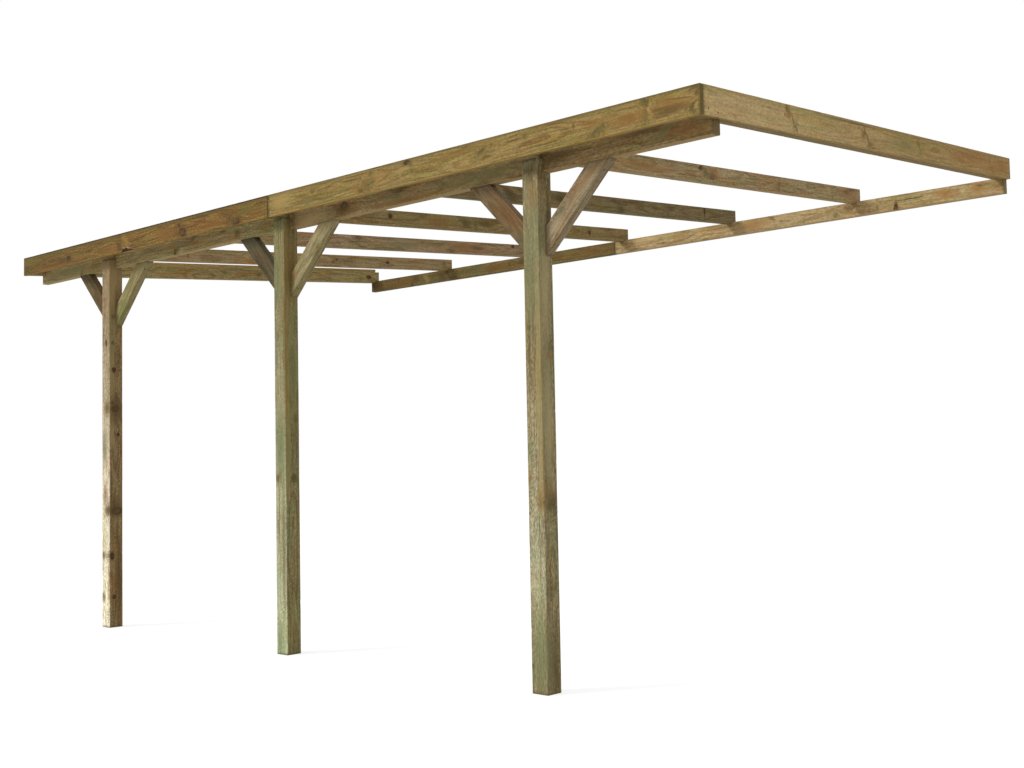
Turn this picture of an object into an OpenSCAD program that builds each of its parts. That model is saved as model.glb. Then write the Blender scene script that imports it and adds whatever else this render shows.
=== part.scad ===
// Wall-mounted timber carport: an open roof frame that falls away from the wall.
// Millimetres. +X runs along the wall to the right, +Y points into the wall and +Z up.
// The origin is the middle of the wall plate's back face, where it bolts to the wall.

/* [Roof frame] */
// Length along the wall, over the fascia
roof_length = 5500; // [4700:50:6600]
// Depth from the wall to the front of the fascia
roof_depth = 3155; // [2600:5:3800]
// Fall of the roof, away from the wall, in degrees
roof_slope = 4.2; // [2:0.1:6]
// Clear height under the front beam
headroom = 2260; // [1900:10:2700]

/* [Posts] */
// Side of the square posts
post_size = 90; // [80:5:120]
// Distance from the fascia's front to the front of the posts
post_setback = 79; // [60:1:150]
// Gap between the top of a post's cheek and the rafter over it
cheek_gap = 1; // [0.3:0.1:5]

/* [Front beam] */
// Thickness of the beam, and depth of the seat cut for it in the post heads
beam_w = 45; // [35:1:55]
// Height of the beam
beam_h = 90; // [75:1:150]

/* [Braces] */
// Thickness of a knee brace, across the beam
brace_w = 45; // [30:1:55]
// Depth of a knee brace, square to its length
brace_h = 90; // [60:1:110]
// Distance from the corner to the far edge of a brace, on post and beam alike
brace_leg = 370; // [300:5:480]

/* [Rafters] */
// Thickness of a rafter
rafter_w = 45; // [35:1:60]
// Depth of a rafter, square to the slope
rafter_h = 90; // [80:1:110]
// Depth of the rafter notch at the beam's front face
beam_notch = 30; // [15:1:35]
// Depth of the rafter notch at the wall plate's front face
plate_notch = 11; // [6:1:25]
// Play of a notch on each side of the timber in it
notch_gap = 0.5; // [0.3:0.1:3]
// Chamfer on a rafter's front top edge, which lets a roof sheet lie behind the fascia
sheet_ease = 3; // [1:0.5:8]

/* [Wall plate] */
// Thickness of the wall plate
plate_w = 45; // [35:1:70]
// Height of the wall plate
plate_h = 90; // [70:1:150]
// Distance from the middle to the joint between the plate's two lengths, to the left
plate_joint = 65; // [30:1:400]

/* [Boards] */
// Thickness of the fascia and verge boards
board_t = 22; // [16:1:30]
// Height of the fascia and verge boards
board_h = 120; // [110:1:160]
// Distance from the middle to the joint between the two fascia boards, to the right
fascia_joint = 12; // [0:1:18]

/* [Timber] */
// Radius of the planed edges of the heavy timbers
arris_r = 3; // [1:0.5:6]
// Radius of the planed edges of the boards
board_arris_r = 2; // [1:0.5:4]

/* [Hidden] */
$fn = 32;

// Colours of the timber
post_colour = "#8f8a68";
beam_colour = "#6f6447";
brace_colour = "#857c5a";
rafter_colour = "#74654a";
plate_colour = "#a08a5f";
fascia_colour = "#977c45";
verge_colour = "#9c8656";

// Lines across the depth
front_y = -roof_depth;
rafter_front_y = front_y + board_t;
post_front_y = front_y + post_setback;
post_back_y = post_front_y + post_size;
beam_front_y = post_back_y - beam_w;

// Lines along the length: the rafters share the frame equally and the posts stand under
// the second, the middle and the sixth
RAFTERS = 7;
frame_half = roof_length / 2 - board_t;
rafter_pitch = (2 * frame_half - rafter_w) / (RAFTERS - 1);
function rafter_x(i) = (i - (RAFTERS + 1) / 2) * rafter_pitch;
post_left_x = rafter_x(2);
post_middle_x = rafter_x(4);
post_right_x = rafter_x(6);

// Levels, from the ground up: the slope is set out from the beam's front top edge
beam_top = headroom + beam_h;
function underside_z(y) = beam_top - beam_notch + (y - beam_front_y) * tan(roof_slope);
plate_top = underside_z(-plate_w) + plate_notch;
cheek_top = underside_z(post_front_y) - cheek_gap;
fascia_bottom = underside_z(front_y);
origin_height = plate_top - plate_h / 2;

// Longest cut in the model, for the blocks that trim the timbers
reach = 2 * (roof_length + roof_depth);

// Section of a planed timber, from the corner, with its four edges eased
module planed_section(w, h, r) {
    translate([r, 0])
        square([w - 2 * r, h]);
    translate([0, r])
        square([w, h - 2 * r]);
    for (x = [r, w - r], y = [r, h - r])
        translate([x, y])
            circle(r);
}

// Planed timber along X from x0 to x1, with its low front edge at [y, z]
module timber_x(x0, x1, y, z, w, h, r = arris_r) {
    translate([x0, y, z])
        rotate([90, 0, 90])
            linear_extrude(x1 - x0)
                planed_section(w, h, r);
}

// Planed timber on the roof slope from y0 to the wall, cut plumb at both ends,
// with its left face at x and its underside on the rafters' line
module timber_on_slope(x, y0, w, h, r = arris_r) {
    uncut = roof_depth / cos(roof_slope) + h;
    intersection() {
        translate([x, y0, underside_z(y0)])
            rotate([90 + roof_slope, 0, 0])
                translate([0, 0, -uncut])
                    linear_extrude(uncut + h)
                        planed_section(w, h, r);
        translate([x - 1, y0, 0])
            cube([w + 2, -y0, reach]);
    }
}

// Square post with the back of its head cut away to seat the beam
module post(x) {
    color(post_colour)
        difference() {
            translate([x - post_size / 2, post_front_y, 0])
                linear_extrude(cheek_top)
                    planed_section(post_size, post_size, arris_r);
            translate([x - post_size, beam_front_y, headroom])
                cube([2 * post_size, post_size, beam_h]);
        }
}

// Length of the front beam between x0 and x1
module front_beam(x0, x1) {
    color(beam_colour)
        timber_x(x0, x1, beam_front_y, headroom, beam_w, beam_h);
}

// Knee brace at 45 degrees from the side of the post at x up to the beam;
// side is 1 to the right of the post and -1 to the left
module brace(x, side) {
    run = brace_leg * sqrt(2);
    color(brace_colour)
        translate([x + side * post_size / 2, post_back_y - brace_w, headroom])
            mirror([side < 0 ? 1 : 0, 0, 0])
                intersection() {
                    translate([0, 0, -brace_leg])
                        rotate([0, 45, 0])
                            translate([-brace_h, 0, -brace_h])
                                linear_extrude(run + 2 * brace_h)
                                    planed_section(brace_h, brace_w, arris_r);
                    translate([0, -1, -reach])
                        cube([reach, brace_w + 2, reach]);
                }
}

// Length of the wall plate between x0 and x1
module wall_plate(x0, x1) {
    color(plate_colour)
        timber_x(x0, x1, -plate_w, plate_top - plate_h, plate_w, plate_h);
}

// Rafter i, notched over the beam and over the wall plate
module rafter(i) {
    x = rafter_x(i) - rafter_w / 2;
    top_front_z = underside_z(rafter_front_y) + rafter_h / cos(roof_slope);
    ease_side = sheet_ease * sqrt(2);
    color(rafter_colour)
        difference() {
            timber_on_slope(x, rafter_front_y, rafter_w, rafter_h);
            translate([x - 1, beam_front_y - notch_gap, 0])
                cube([rafter_w + 2, beam_w + 2 * notch_gap, beam_top]);
            translate([x - 1, -plate_w - notch_gap, 0])
                cube([rafter_w + 2, plate_w + 2 * notch_gap, plate_top]);
            translate([x - 1, rafter_front_y, top_front_z])
                rotate([45, 0, 0])
                    translate([0, -ease_side / 2, -ease_side / 2])
                        cube([rafter_w + 2, ease_side, ease_side]);
        }
}

// Fascia board between x0 and x1, on the front ends of the rafters
module fascia(x0, x1) {
    color(fascia_colour)
        timber_x(x0, x1, front_y, fascia_bottom, board_t, board_h, board_arris_r);
}

// Verge board outside an end rafter, with its left face at x
module verge(x) {
    color(verge_colour)
        timber_on_slope(x, rafter_front_y, board_t, board_h, board_arris_r);
}

// Moves what is set out from the ground at the wall into the part's own frame
module in_frame() {
    translate([0, 0, -origin_height])
        children();
}

in_frame() post(post_left_x);  // post_left
in_frame() post(post_middle_x);  // post_middle
in_frame() post(post_right_x);  // post_right

in_frame() front_beam(-frame_half, post_middle_x);  // front_beam_left
in_frame() front_beam(post_middle_x, frame_half);  // front_beam_right

in_frame() brace(post_left_x, -1);  // brace_left_outer
in_frame() brace(post_left_x, 1);  // brace_left_inner
in_frame() brace(post_middle_x, -1);  // brace_middle_left
in_frame() brace(post_middle_x, 1);  // brace_middle_right
in_frame() brace(post_right_x, -1);  // brace_right_inner
in_frame() brace(post_right_x, 1);  // brace_right_outer

in_frame() wall_plate(-frame_half, -plate_joint);  // wall_plate_left
in_frame() wall_plate(-plate_joint, frame_half);  // wall_plate_right

in_frame() rafter(1);  // rafter_1
in_frame() rafter(2);  // rafter_2
in_frame() rafter(3);  // rafter_3
in_frame() rafter(4);  // rafter_4
in_frame() rafter(5);  // rafter_5
in_frame() rafter(6);  // rafter_6
in_frame() rafter(7);  // rafter_7

in_frame() fascia(-roof_length / 2, fascia_joint);  // fascia_left
in_frame() fascia(fascia_joint, roof_length / 2);  // fascia_right

in_frame() verge(-roof_length / 2);  // verge_left
in_frame() verge(frame_half);  // verge_right
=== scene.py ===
"""Looks of a wall-mounted timber carport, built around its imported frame.

The frame is in metres: +X runs along the wall to the right, +Y points into the wall, +Z is up.
Each timber is a swept, planed section with worn arrises, drying checks and knots in its mesh.
Its finish is drawn in the timber's own directions: u along the grain from the timber's start,
v across its seen face, and w out of that face. Marks and screws are placed in millimetres.
"""

import logging
import math
import random
from dataclasses import dataclass, field, replace
from enum import Enum
from typing import Sequence

import bpy
import numpy as np
from mathutils import Matrix, Vector


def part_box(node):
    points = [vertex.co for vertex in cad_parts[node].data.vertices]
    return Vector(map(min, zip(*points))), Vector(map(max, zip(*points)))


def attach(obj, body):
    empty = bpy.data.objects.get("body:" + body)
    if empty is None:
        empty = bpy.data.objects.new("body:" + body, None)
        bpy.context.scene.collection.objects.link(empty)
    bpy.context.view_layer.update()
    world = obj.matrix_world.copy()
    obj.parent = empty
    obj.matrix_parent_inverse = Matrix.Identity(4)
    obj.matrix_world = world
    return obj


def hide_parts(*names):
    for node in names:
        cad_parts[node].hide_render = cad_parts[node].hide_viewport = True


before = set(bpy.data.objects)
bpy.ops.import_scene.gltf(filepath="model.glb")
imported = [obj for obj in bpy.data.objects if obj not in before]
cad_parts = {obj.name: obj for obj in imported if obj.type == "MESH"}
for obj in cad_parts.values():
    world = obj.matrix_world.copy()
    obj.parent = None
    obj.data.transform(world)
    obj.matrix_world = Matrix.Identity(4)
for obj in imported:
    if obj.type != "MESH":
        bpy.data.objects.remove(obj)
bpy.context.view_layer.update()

LOG = logging.getLogger("carport")
MM = 0.001
ROOT = "root"
UP, FORTH, RIGHT = Vector((0, 0, 1)), Vector((0, -1, 0)), Vector((1, 0, 0))

Colour = tuple[float, float, float, float]
Gain = tuple[float, float, float]
Socket = bpy.types.NodeSocket


class Side(Enum):
    """A timber's long faces, as the axis across the face and its sign on the other axis."""

    FACE = ("v", 1)
    BACK = ("v", -1)
    HIGH = ("w", 1)
    LOW = ("w", -1)


class Kind(Enum):
    """Marks in the wood, as rings from the middle out.

    A knot has a dark rim, a spike is a branch cut lengthwise, and a swirl is the fibres that part
    round a knot. Rust is amber heartwood, soil and streaks are dark, and salts and pale fibre are
    what the treatment and the sun left; a few soil marks are painted shadows and a few pale marks
    painted light. Each ring is its distance in half widths, a linear gain on the wood's colour, and
    its cover.
    """

    KNOT = (
        (0.0, (0.30, 0.25, 0.17), 0.90), (0.4, (0.26, 0.20, 0.13), 0.90),
        (0.75, (0.09, 0.07, 0.05), 0.97), (1.0, (0.12, 0.09, 0.06), 0.95),
        (1.25, (0.44, 0.33, 0.20), 0.80), (1.7, (0.76, 0.60, 0.38), 0.45), (2.5, (0.9, 0.8, 0.6), 0.0),
    )
    SPIKE = (
        (0.0, (0.26, 0.28, 0.21), 0.85), (0.35, (0.62, 0.70, 0.56), 0.80),
        (0.60, (0.24, 0.26, 0.19), 0.85), (0.90, (0.90, 0.96, 0.76), 0.70),
        (1.15, (0.32, 0.32, 0.22), 0.75), (1.45, (1.20, 1.14, 0.92), 0.50),
        (1.80, (0.70, 0.66, 0.46), 0.35), (2.5, (0.9, 0.9, 0.7), 0.0),
    )
    RUST = ((0.0, (0.80, 0.52, 0.27), 0.80), (0.7, (0.90, 0.64, 0.38), 0.60), (1.7, (1.0, 0.75, 0.5), 0.0))
    SOIL = ((0.0, (0.34, 0.29, 0.19), 0.90), (0.7, (0.46, 0.40, 0.27), 0.75), (1.6, (0.6, 0.5, 0.4), 0.0))
    STREAK = ((0.0, (0.26, 0.20, 0.13), 0.75), (0.8, (0.40, 0.32, 0.20), 0.60), (1.8, (0.6, 0.5, 0.35), 0.0))
    SALTS = ((0.0, (0.62, 0.80, 0.68), 0.75), (0.7, (0.72, 0.88, 0.74), 0.55), (1.8, (0.9, 1.0, 0.9), 0.0))
    PALE = ((0.0, (1.40, 1.36, 1.25), 0.85), (0.7, (1.30, 1.27, 1.18), 0.65), (1.7, (1.1, 1.1, 1.1), 0.0))
    SWIRL = (
        (0.0, (0.9, 0.8, 0.6), 0.0), (0.35, (0.9, 0.8, 0.6), 0.0), (0.47, (0.26, 0.20, 0.11), 0.65),
        (0.60, (0.9, 0.8, 0.6), 0.10), (0.82, (0.9, 0.8, 0.6), 0.10), (0.95, (0.18, 0.14, 0.08), 0.90),
        (1.10, (0.9, 0.8, 0.6), 0.10), (1.36, (0.32, 0.25, 0.14), 0.60), (1.6, (0.9, 0.8, 0.6), 0.0),
    )


KNOT, SPIKE, RUST, SOIL, STREAK, SALTS, PALE, SWIRL = Kind
FACE, BACK, HIGH, LOW = Side


def linear(hex_colour: str, gain: Gain = (1.0, 1.0, 1.0), alpha: float = 1.0) -> Colour:
    """Turns an sRGB hex colour into a linear one.

    Args:
        hex_colour: Colour as "#rrggbb".
        gain: Factor for each linear channel.
        alpha: Its alpha.

    Returns:
        Linear red, green, blue and alpha.
    """
    channels = [int(hex_colour[i : i + 2], 16) / 255 for i in (1, 3, 5)]
    levels = [c / 12.92 if c <= 0.04045 else ((c + 0.055) / 1.055) ** 2.4 for c in channels]
    red, green, blue = (min(level * g, 0.9) for level, g in zip(levels, gain))
    return (red, green, blue, alpha)


@dataclass
class Graph:
    """A node tree in the making."""

    tree: bpy.types.NodeTree
    prefix: str = "ShaderNode"

    def add(self, kind: str, inputs: dict | Sequence = (), out: int | str = 0, **settings: object) -> Socket:
        """Adds a node with its settings and its inputs.

        Args:
            kind: The node's type name, less the prefix, with its operation after a dot.
            inputs: Its inputs in order, or by name or index. A socket is linked, the rest is set.
            out: Name or index of the output that is handed back.
            **settings: Properties of the node.

        Returns:
            The chosen output, or the node's first input if it has no output.
        """
        kind, _, operation = kind.partition(".")
        node = self.tree.nodes.new(self.prefix + kind)
        settings |= {"operation": operation} if operation else {}
        for name, value in settings.items():
            setattr(node, name, value)
        for key, value in inputs.items() if isinstance(inputs, dict) else enumerate(inputs):
            if isinstance(value, bpy.types.NodeSocket):
                self.tree.links.new(value, node.inputs[key])
            else:
                node.inputs[key].default_value = value
        return node.outputs[out] if len(node.outputs) else node.inputs[0]

    def rise(self, value: Socket, low: float, high: float) -> Socket:
        """A smooth step from 0 at low to 1 at high, where low may be the larger."""
        ends = {"From Min": min(low, high), "From Max": max(low, high), "To Min": float(low > high)}
        ends |= {"Value": value, "To Max": float(low < high)}
        return self.add("MapRange", ends, interpolation_type="SMOOTHSTEP")

    def lay(
        self, tone: Colour | Socket, colour: Colour | Socket, mask: Socket, cover: float, blend: str = "MIX"
    ) -> Socket:
        """Lays a colour over another.

        Args:
            tone: Colour below.
            colour: Colour laid over it, or its factor for blend "MULTIPLY".
            mask: Where it lies, from 0 to 1.
            cover: How thick it lies, from 0 to 1.
            blend: Blend type of the mix.

        Returns:
            The colour.
        """
        share = self.add("Math.MULTIPLY", [mask, cover])
        return self.add("Mix", {0: share, 6: tone, 7: colour}, 2, data_type="RGBA", blend_type=blend)


def cleared(owner: bpy.types.Material | bpy.types.World) -> Graph:
    """The node tree of a material or a world, without the nodes it came with."""
    owner.use_nodes = True
    owner.node_tree.nodes.clear()
    return Graph(owner.node_tree)


@dataclass(frozen=True)
class Mark:
    """A mark on one long face, in mm and degrees, placed by its middle."""

    kind: Kind
    along: float
    across: float
    half_length: float = 9.0
    half_height: float = 9.0
    lean: float = 0.0
    side: Side = FACE


def laid_out(rows: dict[Kind, list[tuple[float, ...]]], side: Side = FACE) -> tuple[Mark, ...]:
    """Marks on one face, from rows of place along and across, half length, half height and lean."""
    return tuple(Mark(kind, *row, side=side) for kind, group in rows.items() for row in group)


@dataclass(frozen=True)
class Check:
    """A drying crack along the grain of one long face, in mm."""

    start: float
    end: float
    across: float
    depth: float = 5.0
    opening: float = 1.6
    side: Side = FACE


@dataclass(frozen=True)
class Breakout:
    """A splinter that broke off the low front arris, in mm."""

    start: float
    end: float
    height: float
    depth: float


@dataclass(frozen=True)
class Screw:
    """A countersunk screw in one long face, in mm."""

    along: float
    across: float
    side: Side = FACE


@dataclass(frozen=True)
class Strip:
    """Sapwood left along the low front arris, in mm from the arris and from the timber's foot."""

    start: float
    end: float
    on_face: float
    on_side: float
    gain: Gain = (1.2, 1.0, 0.7)
    cover: float = 0.7


@dataclass
class Wood:
    """The material of one timber in the making, with what its layers share."""

    graph: Graph
    timber: "Timber"
    place: Socket
    local: Socket

    def patches(self, name: str, along: float, across: float, detail: float = 3, out: str = "Fac") -> Socket:
        """Noise in patches of a real size.

        Args:
            name: What it is for, which gives it its place.
            along: A patch's length along the grain in mm.
            across: Its width across the grain in mm.
            detail: Octaves.
            out: "Fac" for a value about 0.5, "Color" for three.

        Returns:
            The noise.
        """
        draw = random.Random(self.timber.node + name)
        shift = [draw.uniform(-50, 50) for _ in range(3)]
        scale = (1000 / along, 1000 / across, 1000 / across)
        at = self.graph.add("Mapping", {"Vector": self.local, "Location": shift, "Scale": scale})
        noise = {"Vector": at, "Scale": 1.0, "Detail": detail, "Roughness": 0.6}
        return self.graph.add("TexNoise", noise, out)


@dataclass(frozen=True)
class Pine:
    """Planed pine, pressure impregnated with copper salts, some years outdoors.

    It is matt: amber-brown heartwood streaks and green salt patches in straw-coloured wood, dark
    late-wood lines, soil in the open fibres and sawn ends soaked dark. Each field from rust to
    weathered_top is how thick that layer lies, from 0 to 1; figure is the late wood and saw the marks
    of the saw. ring is the width of a yearly ring and pith the trunk's middle, in mm. A ramp lays a
    second colour on the seen face from the timber's start to its end. On the posts it is partly painted
    light, lighter lower down where the ground lights them, and partly the wood's own tone. On the plate
    and the left fascia it darkens the left end, and on the verges it lightens the front end.
    """

    base: str = "#8f7a4b"
    rust: float = 0.5
    olive: float = 0.5
    salts: float = 0.0
    soil: float = 0.6
    pale: float = 0.35
    fibre: float = 0.5
    speckle: float = 0.35
    figure: float = 0.7
    saw: float = 0.0
    # Lighter low arris and underside: partly wear, partly a painted highlight of light from the ground.
    low_arris_wear_and_highlight: float = 0.0
    high_arris: float = 0.0
    weathered_top: float = 0.0
    ring: float = 11.0
    pith: tuple[float, float] = (6.0, -58.0)
    strip: Strip | None = None
    # Ramp of a second colour along the seen face: on the posts partly painted light, lighter lower down, and
    # partly the wood's own tone.
    painted_light_and_tone_ramp: tuple[float, ...] = ()
    painted_light_and_tone_colour: str = "#d8d0b4"

    # Length and width of the patches in mm, octaves, noise from where to where, gain. Real fibres
    # are under 0.1 mm wide, so fibre and speckle are drawn at least 50 times as coarse to show.
    LAYERS = (
        ("olive", 420, 48, 5, 0.48, 0.60, (0.78, 0.94, 0.62)),
        ("rust", 300, 26, 5, 0.50, 0.60, (1.02, 0.72, 0.46)),
        ("salts", 260, 70, 4, 0.47, 0.60, (0.72, 0.98, 0.90)),
        ("pale", 300, 13, 5, 0.50, 0.64, (1.45, 1.41, 1.30)),
        ("soil", 230, 9, 5, 0.52, 0.66, (0.46, 0.40, 0.29)),
        ("fibre", 120, 5, 4, 0.50, 0.62, (0.60, 0.55, 0.45)),
        ("speckle", 17, 7, 3, 0.50, 0.60, (0.60, 0.56, 0.48)),
        ("speckle", 17, 7, 3, 0.46, 0.36, (1.50, 1.46, 1.38)),
    )
    # Waves of a mark's outline along and across the grain, and how far they push it that way, in mm.
    SWAY = {
        KNOT: (24, 14, 10, 10), SPIKE: (44, 26, 22, 22), STREAK: (70, 30, 22.5, 9), SWIRL: (60, 30, 25, 10),
    }
    SOFT_SWAY = (90, 26, 85, 34)
    # How ragged a mark's rings are, in half widths.
    RAGGED = {KNOT: 0.9, SPIKE: 1.9, STREAK: 1.4, SWIRL: 0.7}
    SOFT_RAGGED = 2.4
    LONGEST_RING = 2.5
    # Gains on the wood's own colour.
    EARLY, LATE, BLEACHED_RIM = (1.1, 1.1, 1.1), (0.54, 0.44, 0.32), (1.42, 1.30, 1.15)
    # The low arris's gain is partly wear and partly a painted highlight.
    LOW_ARRIS, HIGH_ARRIS, DULL_TOP = (1.55, 1.48, 1.15), (0.22, 0.19, 0.13), (0.50, 0.56, 0.36)
    # The recesses' gain is painted shade.
    SOAKED, SAWN, GROOVE = (0.46, 0.46, 0.34), (0.40, 0.38, 0.28), (0.13, 0.10, 0.08)
    SAWTOOTH = (0.56, 0.50, 0.42, 1.0)
    TORN = "#a88c68"
    # Saw marks lie 2 to 5 mm apart, and are drawn three times as coarse so that they show.
    SAW_PITCH = 15.0
    SAW_LEAN = 32.0
    RELIEF = 0.6 * MM
    ROUGHNESS = (0.62, 0.85)
    SHEEN = 0.2

    def material(self, timber: "Timber") -> bpy.types.Material:
        """Builds the timber's own material.

        Args:
            timber: The timber that it is for.

        Returns:
            The material.
        """
        made = bpy.data.materials.new(f"pressure_impregnated_pine_{timber.node}")
        graph = cleared(made)
        place = graph.add("TexCoord", (), "Object")
        turn = Matrix((timber.grain, timber.cross, timber.face))
        to_timber = {"Vector": place, "Location": -(turn @ timber.origin), "Rotation": turn.to_euler("XYZ")}
        wood = Wood(graph, timber, place, graph.add("Mapping", to_timber))
        spots = {kind: self._spots(wood, kind) for kind in Kind}
        late = self._rings(wood, [spots[kind] for kind in (KNOT, SPIKE) if spots[kind]])
        grain = wood.patches("streaks", 240, 9)
        tone = self._weather(wood, self._ground(wood, late, grain), grain)
        for kind, spot in spots.items():
            if spot:
                tone = self._marked(wood, tone, kind, spot)
        tone = self._edges(wood, tone, grain)
        # Bare wood where splinters broke off, and painted shade in the recesses.
        torn = graph.add("Attribute", (), "Fac", attribute_name="bare")
        groove = graph.add("Attribute", (), "Fac", attribute_name="groove")
        tone = graph.lay(tone, linear(self.TORN), torn, 0.85)
        tone = graph.lay(tone, linear(self.base, self.GROOVE), groove, 0.9)
        relief = graph.add("Math.ADD", [late, wood.patches("nap", 40, 2.5)])
        rough = {"Value": grain, "To Min": self.ROUGHNESS[0], "To Max": self.ROUGHNESS[1]}
        surface = {
            "Base Color": tone,
            "Normal": graph.add("Bump", {"Strength": 0.6, "Distance": self.RELIEF, "Height": relief}),
            "Roughness": graph.add("MapRange", rough),
            "Specular IOR Level": self.SHEEN,
        }
        graph.add("OutputMaterial", [graph.add("BsdfPrincipled", surface)])
        return made

    def _spots(self, wood: Wood, kind: Kind) -> Socket | None:
        """Distance to the nearest mark of a kind.

        Args:
            wood: The material in the making.
            kind: Kind of mark.

        Returns:
            The distance in half widths, or None where the timber has no such mark.
        """
        timber, graph = wood.timber, wood.graph
        marks = [mark for mark in timber.marks if mark.kind is kind]
        if not marks:
            return None
        along, across, push_along, push = self.SWAY.get(kind, self.SOFT_SWAY)
        noise = wood.patches(kind.name, along, across, 3, "Color")
        shift = (push_along * MM, push * MM, push * MM)
        shifted = graph.add("VectorMath.MULTIPLY_ADD", [noise, shift, tuple(-s / 2 for s in shift)])
        near = graph.add("VectorMath.ADD", [wood.local, shifted])
        nearest: Socket | float = 9.0
        for mark in marks:
            on_v = mark.side.value[0] == "v"
            half = (timber.depth if on_v else timber.width) / 2
            inwards = 0.9 * half * mark.side.value[1]
            lean = math.radians(mark.lean)
            centre = (mark.along * MM, mark.across * MM, inwards)
            size = (mark.half_length * MM, mark.half_height * MM, 0.8 * half)
            spot = {"Vector": near, "Rotation": (0, 0, lean) if on_v else (0, -lean, 0)}
            spot["Location"] = centre if on_v else (centre[0], centre[2], centre[1])
            spot["Scale"] = size if on_v else (size[0], size[2], size[1])
            unit = graph.add("Mapping", spot, vector_type="TEXTURE")
            away = graph.add("VectorMath.LENGTH", [unit], "Value")
            nearest = graph.add("Math.MINIMUM", [away, nearest])
        ragged = graph.add("Math.ADD", [wood.patches(kind.name + "rag", 16, 8, 4), -0.5])
        return graph.add("Math.MULTIPLY_ADD", [ragged, self.RAGGED.get(kind, self.SOFT_RAGGED), nearest])

    def _marked(self, wood: Wood, tone: Socket, kind: Kind, spot: Socket) -> Socket:
        """Lays the rings of a kind's marks.

        Args:
            wood: The material in the making.
            tone: Colour so far.
            kind: Kind of mark.
            spot: Distance to the nearest one.

        Returns:
            The colour.
        """
        rings = wood.graph.add("ValToRGB", [wood.graph.add("Math.DIVIDE", [spot, self.LONGEST_RING])])
        stops = rings.node.color_ramp.elements
        for ring in kind.value[1:-1]:
            stops.new(ring[0] / self.LONGEST_RING)
        for stop, (distance, gain, cover) in zip(stops, kind.value):
            stop.position = distance / self.LONGEST_RING
            stop.color = linear(self.base, gain, cover)
        return wood.graph.lay(tone, rings, rings.node.outputs["Alpha"], 1.0)

    def _rings(self, wood: Wood, knots: list[Socket]) -> Socket:
        """Late-wood lines, cut from the trunk's yearly rings.

        Real rings are 2 to 4 mm apart. They are drawn about three times as coarse, because finer
        ones don't show from a few metres. They sway, taper and part round knots.

        Args:
            wood: The material in the making.
            knots: Distances to the knots that they part round.

        Returns:
            Mask of the late wood.
        """
        graph = wood.graph
        taper = random.Random(wood.timber.node + "rings").uniform(0.006, 0.012)
        off = (0.0, -0.045 - self.pith[0] * MM, -0.045 - self.pith[1] * MM)
        sway = wood.patches("sway", 600, 200, 1.5, "Color")
        sway = graph.add("VectorMath.MULTIPLY_ADD", [sway, (0.0, 0.09, 0.09), off])
        flat = graph.add("VectorMath.MULTIPLY_ADD", [wood.local, (0.0, 1.0, 1.0), sway])
        radius = graph.add("VectorMath.LENGTH", [flat], "Value")
        taper = graph.add("VectorMath.DOT_PRODUCT", [wood.local, (taper, 0.0, 0.0)], "Value")
        radius = graph.add("Math.ADD", [radius, taper])
        for knot in knots:
            parted = graph.rise(knot, self.LONGEST_RING, 0.8)
            radius = graph.add("Math.MULTIPLY_ADD", [parted, 20 * MM, radius])
        radius = graph.add("Math.MULTIPLY_ADD", [wood.patches("ragged", 170, 14, 2), 9 * MM, radius])
        years = graph.add("Math.DIVIDE", [radius, self.ring * MM])
        part = graph.add("Math.FRACT", [years])
        line = graph.add("Math.MULTIPLY", [graph.rise(part, 0.35, 0.86), graph.rise(part, 1.0, 0.9)])
        year = graph.add("Math.FLOOR", [years])
        strength = graph.add("TexWhiteNoise", {"W": year}, "Value", noise_dimensions="1D")
        strength = graph.add("Math.MULTIPLY_ADD", [strength, 0.7, 0.3])
        return graph.add("Math.MULTIPLY", [line, strength])

    def _ground(self, wood: Wood, late: Socket, grain: Socket) -> Socket:
        """Colour of the wood itself, with what sun, salts, soil and the saw left on it, and a ramp along the
        seen face that is partly painted light on the posts.

        Args:
            wood: The material in the making.
            late: Mask of the late wood.
            grain: Noise along the grain.

        Returns:
            The colour.
        """
        graph, timber = wood.graph, wood.timber
        tone: Colour | Socket = linear(self.base, self.EARLY)
        tone = graph.lay(tone, linear(self.base, self.LATE), late, self.figure)
        # The ramp along the seen face: on the posts partly painted light, lighter lower down where the
        # ground lights them, and partly the wood's tone; elsewhere a darker or lighter end.
        if self.painted_light_and_tone_ramp:
            along, _, outwards = graph.add("SeparateXYZ", [wood.local]).node.outputs
            stops = graph.add("ValToRGB", [graph.add("Math.DIVIDE", [along, timber.length])])
            ramp = stops.node.color_ramp.elements
            for index, level in enumerate(self.painted_light_and_tone_ramp):
                spot = index / (len(self.painted_light_and_tone_ramp) - 1)
                stop = ramp[0] if not index else ramp[-1] if spot == 1 else ramp.new(spot)
                stop.color = (level, level, level, 1.0)
            half = timber.depth / 2
            light_and_tone_share = graph.add("Math.MULTIPLY", [graph.rise(outwards, half - 5 * MM, half - 1 * MM), stops])
            light_and_tone_share = graph.add("Math.MULTIPLY", [light_and_tone_share, graph.rise(grain, 0.18, 0.46)])
            tone = graph.lay(tone, linear(self.painted_light_and_tone_colour), light_and_tone_share, 1.0)
        for name, along, across, detail, low, high, gain in self.LAYERS:
            cover = getattr(self, name)
            if cover:
                mask = graph.rise(wood.patches(name, along, across, detail), low, high)
                tone = graph.lay(tone, (*gain, 1.0), mask, cover, "MULTIPLY")
        if self.saw:
            lean, pitch = math.radians(self.SAW_LEAN), self.SAW_PITCH * MM
            slope = (math.cos(lean) / pitch, math.sin(lean) / pitch, math.sin(lean) / pitch)
            turns = graph.add("VectorMath.DOT_PRODUCT", [wood.local, slope], "Value")
            turns = graph.add("Math.MULTIPLY_ADD", [wood.patches("wobble", 120, 70, 2), 5.0, turns])
            wave = graph.add("Math.SINE", [graph.add("Math.MULTIPLY", [turns, 2 * math.pi])])
            zone = graph.rise(wood.patches("saw", 240, 90, 4), 0.46, 0.60)
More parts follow.
